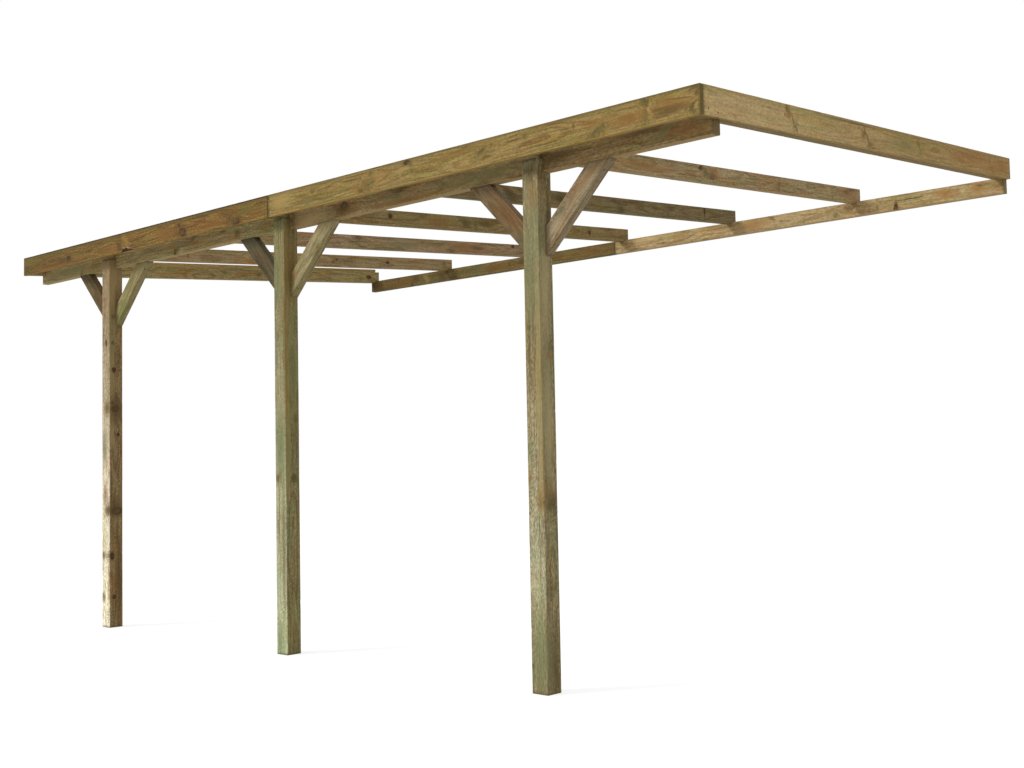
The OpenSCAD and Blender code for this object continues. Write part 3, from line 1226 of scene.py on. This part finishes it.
@dataclass
class Fascia(SubAssembly):
    """The two boards across the rafters' front ends, with the open joint between them."""

    slot: str = "fascia"
    arris: float = 2 * MM
    joint: float = 1.4 * MM
    screw_rows: tuple[float, float] = (-38.0, 38.0)
    left: Pine = Pine(
        base="#795f2a", rust=0.55, olive=0.45, soil=0.95, pale=0.4, fibre=0.75, speckle=0.8, figure=0.85,
        low_arris_wear_and_highlight=0.6, high_arris=0.9, weathered_top=0.6, painted_light_and_tone_ramp=(0.75, 0.45, 0.1, 0.0, 0.0, 0.0),
        painted_light_and_tone_colour="#54460c",
    )
    right: Pine = Pine(
        base="#887342", rust=0.45, olive=0.5, soil=0.65, pale=0.4, speckle=0.5, low_arris_wear_and_highlight=0.6,
        high_arris=0.35, weathered_top=0.35,
    )

    def timbers(self) -> list[Timber]:
        """Lays both boards out."""
        left = laid_out({
            STREAK: [
                (206, -12, 22, 3), (420, -34, 150, 4.5, -2), (548, -26, 56, 3, 5), (540, -10, 70, 5, -8),
                (800, 51, 60, 3), (881, -6, 34, 5), (1001, 32, 60, 4), (1714, 36, 28, 4),
                (1921, 50, 14, 4.5), (1866, -34, 50, 3, 4), (1915, 8, 12, 5, -40), (2130, 6, 90, 2.5, -8),
                (2372, -34, 26, 3, -14), (2530, -24, 40, 3, -14), (2430, -28, 14, 4.5),
            ],
            RUST: [
                (420, -42, 200, 12), (600, 32, 34, 12), (738, -34, 50, 16), (1080, -24, 120, 18),
                (1383, 45, 34, 9), (1790, -12, 120, 24), (1832, 1, 30, 12), (1900, -20, 40, 20),
                (2170, 0, 110, 12, -8), (2250, -28, 160, 12), (2446, 27, 14, 10), (2621, -22, 16, 10),
            ],
            KNOT: [
                (619, -18, 22, 15, -10), (1909, 17, 11, 8), (1946, -26, 34, 20, -22),
                (2474, -40, 29, 19, -8),
            ],
            SWIRL: [(596, -14, 50, 22, -8), (1932, -14, 54, 28, -18), (2452, -24, 52, 29, -12)],
            # The mark at 1245 is painted shade beside the break-out.
            SOIL: [(1258, 55, 22, 12), (1245, -20, 26, 38, 12)],
            PALE: [(1318, 8, 22, 46, 40), (1994, -34, 16, 10)],
            SPIKE: [(2420, -20, 34, 18)],
            SALTS: [(90, 30, 100, 24), (2560, 14, 60, 26)],
        })
        right = laid_out({
            SOIL: [
                (8, 0, 7, 90), (762, -40, 26, 12), (2704, 50, 30, 12, -16), (2728, 24, 8, 26),
                (2600, -20, 80, 14),
            ],
            PALE: [(120, 10, 90, 34), (2506, 4, 8, 36), (2728, -14, 9, 26)],
            RUST: [
                (294, 47, 34, 9), (794, 10, 9, 16, -30), (750, -37, 44, 20), (1400, 24, 160, 7, 4),
                (945, 23, 30, 8), (2197, 8, 38, 10), (2400, -10, 90, 22), (2620, 4, 70, 26),
            ],
            SPIKE: [
                (375, 22, 22, 12), (828, 35, 15, 12), (800, -28, 34, 28), (838, -9, 18, 11),
                (1114, 29, 12, 9), (1124, -5, 13, 8), (1570, 4, 36, 13, 27), (1837, 27, 13, 11),
                (2236, -32, 56, 17, 26), (2474, 44, 20, 18, -40), (2494, 28, 14, 26), (2478, -28, 17, 34),
                (2714, -32, 22, 24),
            ],
            SALTS: [(335, -34, 30, 18, 30), (1536, -30, 30, 12, 27), (1865, 49, 18, 9)],
            STREAK: [
                (335, -40, 20, 4.5, 30), (1470, 45, 34, 3.5), (1574, 6, 24, 3.5, 27), (1764, 20, 50, 4),
                (2109, 14, 5, 13), (2214, -34, 40, 3, 32), (2480, 30, 22, 4, -52), (2640, 20, 60, 2, -6),
                (2698, -24, 22, 4, 46),
            ],
            KNOT: [(1089, 42, 20, 9)],
        })
        boards = []
        for node, finish, trim, marks in (
            ("fascia_left", self.left, (0.0, self.joint), left),
            ("fascia_right", self.right, (self.joint, 0.0), right),
        ):
            low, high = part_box(node)
            places = [(low.x + high.x) / 2 for low, high in (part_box(f"rafter_{i}") for i in range(1, 8))]
            inset = 9 * MM
            rows = [min(max(x, low.x + inset), high.x - inset) - low.x for x in places]
            rows = [x for x, place in zip(rows, places) if low.x - 0.03 < place < high.x + 0.03]
            screws = tuple(Screw((x - trim[0]) / MM, row) for x in rows for row in self.screw_rows)
            boards.append(
                straight(
                    node, self.slot, finish, trim, arris=self.arris, wane=0.8 * MM, line_step=7 * MM,
                    screws=screws, marks=marks + scattered(node, 2700, 50, (BACK,), 600),
                    breakouts=(Breakout(1272, 1420, 27, 20),) if node == "fascia_left" else (),
                )
            )
        return boards


@dataclass
class Roof(SubAssembly):
    """The rafters and verge boards, which lie on the slope and are cut plumb."""

    slope: float = math.radians(4.2)
    rafter: tuple[float, float] = (90 * MM, 45 * MM)
    board: tuple[float, float] = (120 * MM, 22 * MM)
    play: float = 0.5 * MM
    sheet_ease: float = 3 * MM
    end_inset: float = 0.2 * MM
    tones: tuple[str, ...] = ("#877850", "#8c7756", "#8b775a", "#7e6d45", "#6f6140", "#968360", "#7c6942")
    verge: Pine = Pine(
        base="#957c4b", rust=0.35, olive=0.45, soil=0.18, pale=0.3, fibre=0.22, speckle=0.4,
        weathered_top=0.25, painted_light_and_tone_ramp=(0.42, 0.36, 0.2, 0.06, 0.0, 0.0), painted_light_and_tone_colour="#d2bb8b",
    )

    def _sloped(
        self, node: str, slot: str, finish: Pine, size: tuple[float, float], **more: object
    ) -> Timber:
        """Lays a timber out on the slope, seen from the right.

        Args:
            node: Its CAD node.
            slot: Its material slot, which the timber keeps.
            finish: Its finish.
            size: Its width and its thickness.
            **more: Further fields of Timber.

        Returns:
            The timber, not built yet.
        """
        low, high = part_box(node)
        grain = Vector((0, math.cos(self.slope), math.sin(self.slope)))
        under = Vector(((low.x + high.x) / 2, low.y, low.z))
        origin = under + RIGHT.cross(grain) * size[0] / 2
        inset = FORTH * self.end_inset
        planes = Plane(under - inset, FORTH), Plane(Vector((0, high.y, 0)) + inset, -FORTH)
        return Timber(node, slot, finish, origin, grain, RIGHT, *size, *planes, **more)

    def _cuts(self, node: str) -> tuple[tuple[Vector, Vector, float], ...]:
        """Notches of a rafter over beam and wall plate, and its eased front top edge."""
        low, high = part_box(node)
        boxes = []
        for under, open_end in (("front_beam_left", False), ("wall_plate_left", True)):
            first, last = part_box(under)
            back = last.y + (50 * MM if open_end else self.play)
            boxes.append((Vector((low.x - 0.01, first.y - self.play, first.z - 0.05)),
                          Vector((high.x + 0.01, back, last.z)), 0.0))
        corner = Vector((0, low.y, low.z + self.rafter[0] / math.cos(self.slope)))
        ease = self.sheet_ease * math.sqrt(2) / 2
        boxes.append((corner + Vector((low.x - 0.01, -ease, -ease)),
                      corner + Vector((high.x + 0.01, ease, ease)), 45.0))
        return tuple(boxes)

    def _rafter(self, number: int) -> Timber:
        """Lays one rafter out, by its number from the left."""
        node = f"rafter_{number}"
        draw = random.Random(node)
        finish = Pine(
            base=self.tones[number - 1], rust=draw.uniform(0.5, 0.7), olive=draw.uniform(0.45, 0.65),
            soil=draw.uniform(0.5, 0.65), speckle=0.5, pith=(draw.uniform(-20, 20), -draw.uniform(40, 70)),
            low_arris_wear_and_highlight=0.2,
        )
        seen = {
            1: laid_out({
                SOIL: [(1880, 0, 30, 20)],
                KNOT: [(3030, 0, 20, 12)],
                SPIKE: [(1560, 10, 30, 14)],
            }),
            2: laid_out({
                SOIL: [(660, -3, 12, 12), (1900, -5, 20, 16)],
                KNOT: [(2440, 0, 14, 9), (1930, 8, 8, 7)],
                SPIKE: [(3050, 10, 20, 12)],
                RUST: [(1700, 0, 70, 30)],
            }),
            3: laid_out({
                SOIL: [(1960, 18, 16, 9), (2240, -28, 34, 8), (2510, 0, 60, 14)],
                RUST: [(2400, 0, 200, 26)],
                KNOT: [(2900, 26, 12, 8)],
                SALTS: [(1800, 0, 120, 24)],
            }),
            4: laid_out({
                KNOT: [(846, 9, 12, 12), (2700, 0, 10, 10)],
                SOIL: [(1475, -3, 40, 26), (1650, 5, 60, 16)],
                SPIKE: [(1560, 0, 14, 34)],
                RUST: [(1230, 0, 100, 26)],
            }),
            5: laid_out({
                SOIL: [(900, -2, 60, 26, -30), (1320, 5, 50, 22)],
                SALTS: [(800, -10, 40, 20)],
            }),
            6: laid_out({
                KNOT: [(1380, 26, 18, 9)],
                SPIKE: [(1420, 2, 26, 20, 30), (2150, -26, 20, 12)],
                SOIL: [(1480, -12, 40, 16), (2160, 4, 26, 9), (2960, 16, 40, 10), (3030, 30, 50, 8)],
                RUST: [(1500, 14, 50, 18), (900, -10, 200, 18), (3000, 0, 90, 30)],
            }),
        }.get(number, laid_out({KNOT: [(900, 10)], RUST: [(2000, -10, 80, 20)]}))
        marks = seen + scattered(node, 3100, 38, (BACK, HIGH, LOW), 680)
        screws = [Screw(3064, -6, FACE), Screw(3064, -6, BACK), Screw(186, -4, FACE), Screw(186, -4, BACK)]
        if number in (1, 7):
            screws = [s for s in screws if (s.side is FACE) == (number == 1)]
        screws.append(Screw(126, 0, HIGH))
        return self._sloped(
            node, "rafter", finish, self.rafter, marks=marks, cuts=self._cuts(node), screws=tuple(screws),
            checks=(Check(800, 1700, 6, 5, 1.6, BACK),),
        )

    def timbers(self) -> list[Timber]:
        """Lays the rafters and the verge boards out."""
        right = laid_out({
            SPIKE: [
                (650, 32, 13, 13), (1335, 4, 16, 14, 30), (1400, -38, 22, 13, 20), (1925, 22, 12, 11),
            ],
            STREAK: [
                (640, 44, 5, 12, -20), (622, 12, 5, 6), (690, -10, 5, 24, 24), (712, -42, 6, 14, 24),
                (1350, 28, 5, 18, 20), (1378, -14, 5, 20, 24), (1426, -50, 24, 3), (1360, 10, 20, 4, -20),
                (1940, 6, 5, 26, 8), (2850, 18, 4, 24), (2880, -30, 4, 14, 20), (1250, 46, 200, 4),
            ],
            RUST: [(655, 10, 18, 16), (2600, 10, 260, 30), (2880, -20, 120, 30), (3020, 0, 90, 40)],
            SALTS: [(700, -26, 15, 36, -30), (1950, -18, 30, 30), (1750, 0, 120, 30)],
        })
        seen = {"verge_right": right, "verge_left": scattered("verge_left out", 3000, 48, (BACK,), 480)}
        outer = {"verge_right": FACE, "verge_left": BACK}
        boards = []
        for node, marks in seen.items():
            screws = [Screw(36, -32, outer[node]), Screw(104, -41, outer[node])]
            screws += [Screw(700 + 590 * i, (-30, 30)[i % 2], outer[node]) for i in range(4)]
            screws.append(Screw(3030, -20, outer[node]))
            boards.append(
                self._sloped(
                    node, "verge_board", self.verge, self.board, marks=marks, arris=2 * MM,
                    wane=0.8 * MM, line_step=7 * MM, screws=tuple(screws),
                )
            )
        return [self._rafter(number) for number in range(1, 8)] + boards


@dataclass
class KneeBraces(SubAssembly):
    """The six braces, mitred to the posts' sides and to the beam's underside."""

    slot: str = "brace"
    section: tuple[float, float] = (90 * MM, 45 * MM)
    finishes: dict[str, tuple[int, Pine]] = field(
        default_factory=lambda: {
            "brace_left_outer": (-1, Pine(base="#5c4e2e", rust=0.5, olive=0.4, soil=0.8, pale=0.5)),
            "brace_left_inner": (1, Pine(base="#897f5a", rust=0.25, olive=0.8, soil=0.5)),
            "brace_middle_left": (-1, Pine(base="#574e36", rust=0.4, olive=0.5, salts=0.5, soil=0.6)),
            "brace_middle_right": (1, Pine(base="#8e8360", rust=0.4, olive=0.6, soil=0.4, pale=0.5)),
            "brace_right_inner": (-1, Pine(base="#6f5e42", rust=0.75, olive=0.2, soil=0.4)),
            "brace_right_outer": (1, Pine(base="#8c7e65", rust=0.6, olive=0.35, soil=0.4, saw=0.4)),
        }
    )

    def timbers(self) -> list[Timber]:
        """Lays the braces out."""
        seen = {
            "brace_left_outer": laid_out({
                RUST: [(250, 0, 70, 20)],
                PALE: [(320, 16, 26, 20)],
                SOIL: [(360, -20, 60, 16)],
            }),
            "brace_left_inner": laid_out({SALTS: [(260, 30, 50, 12)], RUST: [(420, 10, 60, 12)]}),
            "brace_middle_left": laid_out({
                SALTS: [(395, -18, 44, 16)],
                SOIL: [(260, 28, 80, 12)],
                RUST: [(300, 0, 80, 12)],
            }),
            "brace_middle_right": laid_out({
                RUST: [(90, 22, 44, 16)],
                SOIL: [(334, -34, 14, 9)],
                PALE: [(400, 20, 60, 14)],
            }),
            "brace_right_inner": laid_out({SALTS: [(60, 10, 60, 40)], RUST: [(260, -4, 110, 30)]}),
            "brace_right_outer": laid_out({
                RUST: [(380, 4, 90, 14)],
                SPIKE: [(190, 24, 36, 14)],
                PALE: [(130, 0, 40, 20)],
            }),
        }
        braces = []
        for node, (side, finish) in self.finishes.items():
            low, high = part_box(node)
            post_x = low.x if side > 0 else high.x
            grain = Vector((side, 0, 1)).normalized()
            across = Vector((-side, 0, 1)).normalized()
            foot = Vector((post_x, (low.y + high.y) / 2, low.z))
            planes = Plane(foot, RIGHT * -side), Plane(high, UP)
            under = LOW if side > 0 else HIGH
            screws = tuple(Screw(along, row, under) for along in (62, 460) for row in (-11, 11))
            braces.append(
                Timber(
                    node, self.slot, finish, foot + across * self.section[0] / 2, grain, FORTH,
                    *self.section, *planes, marks=seen[node] + scattered(node, 500, 36, (BACK,), 260),
                    screws=screws, station_step=13 * MM, line_step=8 * MM,
                )
            )
        return braces


@dataclass(frozen=True)
class Steel:
    """Steel of screws, with a coat that has rubbed through in spots and a satin shine."""

    name: str
    coat: str
    bare: str

    def material(self) -> bpy.types.Material:
        """Builds the material.

        Returns:
            The material.
        """
        made = bpy.data.materials.new(self.name)
        graph = cleared(made)
        place = graph.add("TexCoord", (), "Object")
        # Spots of 1 to 2 mm, where the coat has worn.
        spots = graph.add("TexNoise", {"Vector": place, "Scale": 620.0, "Detail": 3.0}, "Fac")
        worn = graph.rise(spots, 0.50, 0.66)
        tone = graph.lay(linear(self.coat), linear(self.bare), worn, 0.8)
        surface = {
            "Base Color": tone,
            "Metallic": 0.8,
            "Roughness": graph.add("MapRange", {"Value": spots, "To Min": 0.35, "To Max": 0.65}),
        }
        graph.add("OutputMaterial", [graph.add("BsdfPrincipled", surface)])
        return made


@dataclass
class Fixings:
    """The screws that hold the frame together, set out by Geometry Nodes."""

    head: float = 9.0 * MM
    coach_head: float = 15.0 * MM
    coach_offset: float = 20 * MM
    washer: float = 2 * MM
    seed: int = 7

    @staticmethod
    def _shares(graph: Graph, size: Socket, shares: Sequence[float]) -> list[Socket]:
        """Lengths that are shares of a head's size."""
        return [graph.add("ShaderNodeMath.MULTIPLY", [size, share]) for share in shares]

    def _screw_tree(self) -> bpy.types.NodeTree:
        """Countersunk heads with a six-lobed recess, one on each point.

        Returns:
            The node tree.
        """
        graph, points, size, material, seed = self._tree("countersunk_screws")
        half, neck, deep, sunk, lobe, root = self._shares(graph, size, (0.5, 0.28, 0.3, -0.3, 0.24, 0.16))
        cone = {"Vertices": 20, "Radius Top": half, "Radius Bottom": neck, "Depth": deep}
        cone = graph.add("GeometryNodeMeshCone", cone, "Mesh")
        down = graph.add("ShaderNodeCombineXYZ", {"Z": sunk})
        cone = graph.add("GeometryNodeTransform", {"Geometry": cone, "Translation": down})
        star = {"Points": 6, "Inner Radius": root, "Outer Radius": lobe}
        star = graph.add("GeometryNodeCurveStar", star, "Curve")
        foot = graph.add("ShaderNodeVectorMath.SCALE", {0: down, "Scale": 0.6})
        line = graph.add("GeometryNodeCurvePrimitiveLine", {"Start": foot, "End": (0, 0, 1 * MM)})
        recess = {"Curve": line, "Profile Curve": star, "Fill Caps": True}
        recess = graph.add("GeometryNodeCurveToMesh", recess)
        head = graph.add("GeometryNodeMeshBoolean.DIFFERENCE", {"Mesh 1": cone, "Mesh 2": recess})
        return self._place(graph, points, head, material, seed)

    def _coach_tree(self) -> bpy.types.NodeTree:
        """Hexagon heads with chamfered corners, each on a washer, one on each point.

        Returns:
            The node tree.
        """
        graph, points, size, material, seed = self._tree("coach_screws")
        half, high, lift, top, tall, low = self._shares(graph, size, (0.577, 0.42, 0.29, 0.395, 1.1, -0.5))
        prism = {"Vertices": 6, "Radius": half, "Depth": high}
        prism = graph.add("GeometryNodeMeshCylinder", prism, "Mesh")
        up = graph.add("ShaderNodeCombineXYZ", {"Z": lift})
        prism = graph.add("GeometryNodeTransform", {"Geometry": prism, "Translation": up})
        # The cone ends above the prism: two caps in one plane would be cut differently at each run.
        chamfer = {"Vertices": 32, "Radius Top": top, "Radius Bottom": size, "Depth": tall}
        chamfer = graph.add("GeometryNodeMeshCone", chamfer, "Mesh")
        down = graph.add("ShaderNodeCombineXYZ", {"Z": low})
        chamfer = graph.add("GeometryNodeTransform", {"Geometry": chamfer, "Translation": down})
        head = graph.add("GeometryNodeMeshBoolean.INTERSECT")
        for shape in (prism, chamfer):
            graph.tree.links.new(shape, head.node.inputs["Mesh 2"])
        ring = {"Vertices": 32, "Radius": size, "Depth": self.washer}
        washer = graph.add("GeometryNodeMeshCylinder", ring, "Mesh")
        lifted = {"Geometry": washer, "Translation": (0, 0, self.washer / 2)}
        washer = graph.add("GeometryNodeTransform", lifted)
        both = graph.add("GeometryNodeJoinGeometry")
        for shape in (head, washer):
            graph.tree.links.new(shape, both.node.inputs[0])
        return self._place(graph, points, both, material, seed)

    @staticmethod
    def _tree(name: str) -> tuple[Graph, Socket, Socket, Socket, Socket]:
        """Starts a tree.

        Args:
            name: Its name.

        Returns:
            The tree and its inputs: points, size, material and seed.
        """
        tree = bpy.data.node_groups.new(name, "GeometryNodeTree")
        kinds = {"Points": "Geometry", "Size": "Float", "Material": "Material", "Seed": "Int"}
        for label, kind in kinds.items():
            tree.interface.new_socket(label, in_out="INPUT", socket_type=f"NodeSocket{kind}")
        tree.interface.new_socket("Geometry", in_out="OUTPUT", socket_type="NodeSocketGeometry")
        graph = Graph(tree, "")
        inputs = graph.add("NodeGroupInput").node.outputs
        return graph, *inputs[:4]

    @staticmethod
    def _place(
        graph: Graph, points: Socket, head: Socket, material: Socket, seed: Socket
    ) -> bpy.types.NodeTree:
        """Ends a tree: sets a head on each point, facing out and turned at random.

        Args:
            graph: The tree.
            points: The points, whose facing attribute gives their direction.
            head: One head, which faces up.
            material: Its material.
            seed: Seed of the turns.

        Returns:
            The node tree.
        """
        facing = graph.add("GeometryNodeInputNamedAttribute", {"Name": "facing"}, data_type="FLOAT_VECTOR")
        aimed = graph.add("FunctionNodeAlignRotationToVector", {"Vector": facing}, axis="Z")
        spots = {"Points": points, "Instance": head, "Rotation": aimed}
        spots = graph.add("GeometryNodeInstanceOnPoints", spots)
        turn = graph.add("FunctionNodeRandomValue", {3: math.tau, "Seed": seed}, 1, data_type="FLOAT")
        turn = graph.add("ShaderNodeCombineXYZ", {"Z": turn})
        spots = graph.add("GeometryNodeRotateInstances", {"Instances": spots, "Rotation": turn})
        made = graph.add("GeometryNodeRealizeInstances", [spots])
        made = graph.add("GeometryNodeSetMaterial", {"Geometry": made, "Material": material})
        graph.add("NodeGroupOutput", [made])
        return graph.tree

    def _set(
        self, tree: bpy.types.NodeTree, seats: Sequence[tuple[Vector, Vector]], size: float, steel: Steel
    ) -> bpy.types.Object:
        """Makes one piece of all the screws of a kind.

        Args:
            tree: Their node tree.
            seats: Place and direction of each head.
            size: Their size.
            steel: Their finish.

        Returns:
            The piece.
        """
        facing = {"facing": np.array([out for _, out in seats])}
        piece = new_piece(tree.name, [spot for spot, _ in seats], [], facing)
        modifier = piece.modifiers.new(tree.name, "NODES")
        modifier.node_group = tree
        values = {"Size": size, "Material": steel.material(), "Seed": self.seed}
        for item in tree.interface.items_tree:
            if item.in_out == "INPUT" and item.name in values:
                modifier[item.identifier] = values[item.name]
        bake_modifiers(piece)
        finish_mesh(piece.data, 30.0)
        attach(piece, ROOT)
        return piece

    def build(self, timbers: Sequence[Timber]) -> list[bpy.types.Object]:
        """Builds the screws.

        Args:
            timbers: The timbers with their screws.

        Returns:
            The pieces.
        """
        seats = [timber.seat(screw) for timber in timbers for screw in timber.screws]
        low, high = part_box("front_beam_left")
        coach = []
        pair, four = ((-1, -1), (1, 1)), ((-1, -1), (-1, 1), (1, -1), (1, 1))
        for node, spots in (("post_left", pair), ("post_middle", four), ("post_right", pair)):
            first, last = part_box(node)
            centre = Vector(((first.x + last.x) / 2, high.y, (low.z + high.z) / 2))
            for x, z in spots:
                coach.append((centre + Vector((x, 0, z)) * self.coach_offset, -FORTH))
        brown = Steel("outdoor_coated_screw_steel", "#5c4a30", "#7d7468")
        zinc = Steel("hot_dip_galvanised_steel", "#8d9092", "#6d7072")
        return [
            self._set(self._screw_tree(), seats, self.head, brown),
            self._set(self._coach_tree(), coach, self.coach_head, zinc),
        ]


@dataclass
class Studio:
    """The plain white floor, the soft light and the camera."""

    WHITE = (1.0, 1.0, 1.0, 1.0)
    floor_half: float = 60.0
    sky: float = 0.92
    floor_tone: float = 0.55
    shade_tone: float = 0.36
    glow: float = 0.66
    sun_strength: float = 1.8
    sun_spread: float = 14.0
    sun_from: tuple[float, float, float] = (-0.85, -1.25, 1.0)
    eye: tuple[float, float, float] = (5.3322, -7.0693, -1.4818)
    heading: float = 0.7414
    climb: float = 0.0578
    roll: float = -0.0196
    lens: float = 43.286
    sensor: float = 36.0
    clip: tuple[float, float] = (0.05, 500.0)

    def build(self) -> None:
        """Builds the stage."""
        scene = bpy.context.scene
        scene.view_settings.view_transform = "Standard"
        self._world(scene)
        self._floor(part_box("post_left")[0].z)
        data = bpy.data.lights.new("key", "SUN")
        data.energy, data.angle = self.sun_strength, math.radians(self.sun_spread)
        lamp = bpy.data.objects.new("key", data)
        lamp.rotation_mode = "QUATERNION"
        lamp.rotation_quaternion = Vector(self.sun_from).to_track_quat("Z", "Y")
        scene.collection.objects.link(lamp)
        self._camera(scene)

    @staticmethod
    def _shown(graph: Graph) -> Socket:
        """1 for what is seen directly, in a reflection or through glass, and 0 for light."""
        rays = [graph.add("LightPath", (), f"Is {ray} Ray") for ray in ("Camera", "Glossy", "Transmission")]
        return graph.add("Math.MAXIMUM", [graph.add("Math.MAXIMUM", rays[:2]), rays[2]])

    def _world(self, scene: bpy.types.Scene) -> None:
        """A white background that lights the part softly from all round."""
        world = bpy.data.worlds.new("studio")
        scene.world = world
        graph = cleared(world)
        light = graph.add("Background", [self.WHITE, self.sky])
        white = graph.add("Background", [self.WHITE, 1.0])
        graph.add("OutputWorld", [graph.add("MixShader", [self._shown(graph), light, white])])

    def _floor(self, level: float) -> None:
        """The floor at a level, white to the eye, which keeps the part's shadow."""
        half = self.floor_half
        corners = [(-half, -half, level), (half, -half, level), (half, half, level), (-half, half, level)]
        floor = new_piece("floor", corners, [(0, 1, 2, 3)])
        made = bpy.data.materials.new("studio_floor")
        graph = cleared(made)
        bounce = graph.add("BsdfDiffuse", [(*[self.floor_tone] * 3, 1.0)])
        shaded = graph.add("BsdfDiffuse", [(*[self.shade_tone] * 3, 1.0)])
        glow = graph.add("Emission", [self.WHITE, self.glow])
        white = graph.add("AddShader", [shaded, glow])
        graph.add("OutputMaterial", [graph.add("MixShader", [self._shown(graph), bounce, white])])
        floor.data.materials.append(made)

    def _camera(self, scene: bpy.types.Scene) -> None:
        """A camera a metre above the ground, in front of the right end."""
        data = bpy.data.cameras.new("camera")
        data.lens, data.sensor_width = self.lens, self.sensor
        data.clip_start, data.clip_end = self.clip
        camera = bpy.data.objects.new("camera", data)
        flat = math.cos(self.climb)
        ahead = Vector((-math.sin(self.heading) * flat, math.cos(self.heading) * flat, math.sin(self.climb)))
        right = ahead.cross(UP).normalized()
        up = right.cross(ahead)
        tilted = right * math.cos(self.roll) + up * math.sin(self.roll)
        above = up * math.cos(self.roll) - right * math.sin(self.roll)
        turn = Matrix((tilted, above, -ahead)).transposed().to_4x4()
        camera.matrix_world = Matrix.Translation(Vector(self.eye)) @ turn
        scene.collection.objects.link(camera)
        scene.camera = camera


def main() -> None:
    """Builds every sub-assembly in order."""
    logging.basicConfig(level=logging.INFO, format="%(name)s: %(message)s")
    timbers: list[Timber] = []
    pieces: list[bpy.types.Object] = []
    for assembly in (PostRow(), FrontBeam(), KneeBraces(), WallPlate(), Roof(), Fascia()):
        for timber, piece in assembly.build():
            timbers.append(timber)
            pieces.append(piece)
    pieces += Fixings().build(timbers)
    total = 0
    for piece in pieces:
        count = sum(len(p.vertices) - 2 for p in piece.data.polygons)
        total += count
        LOG.info("%s: %d triangles", piece.name, count)
    LOG.info("%d triangles in all", total)
    Studio().build()


if __name__ == "__main__":
    main()
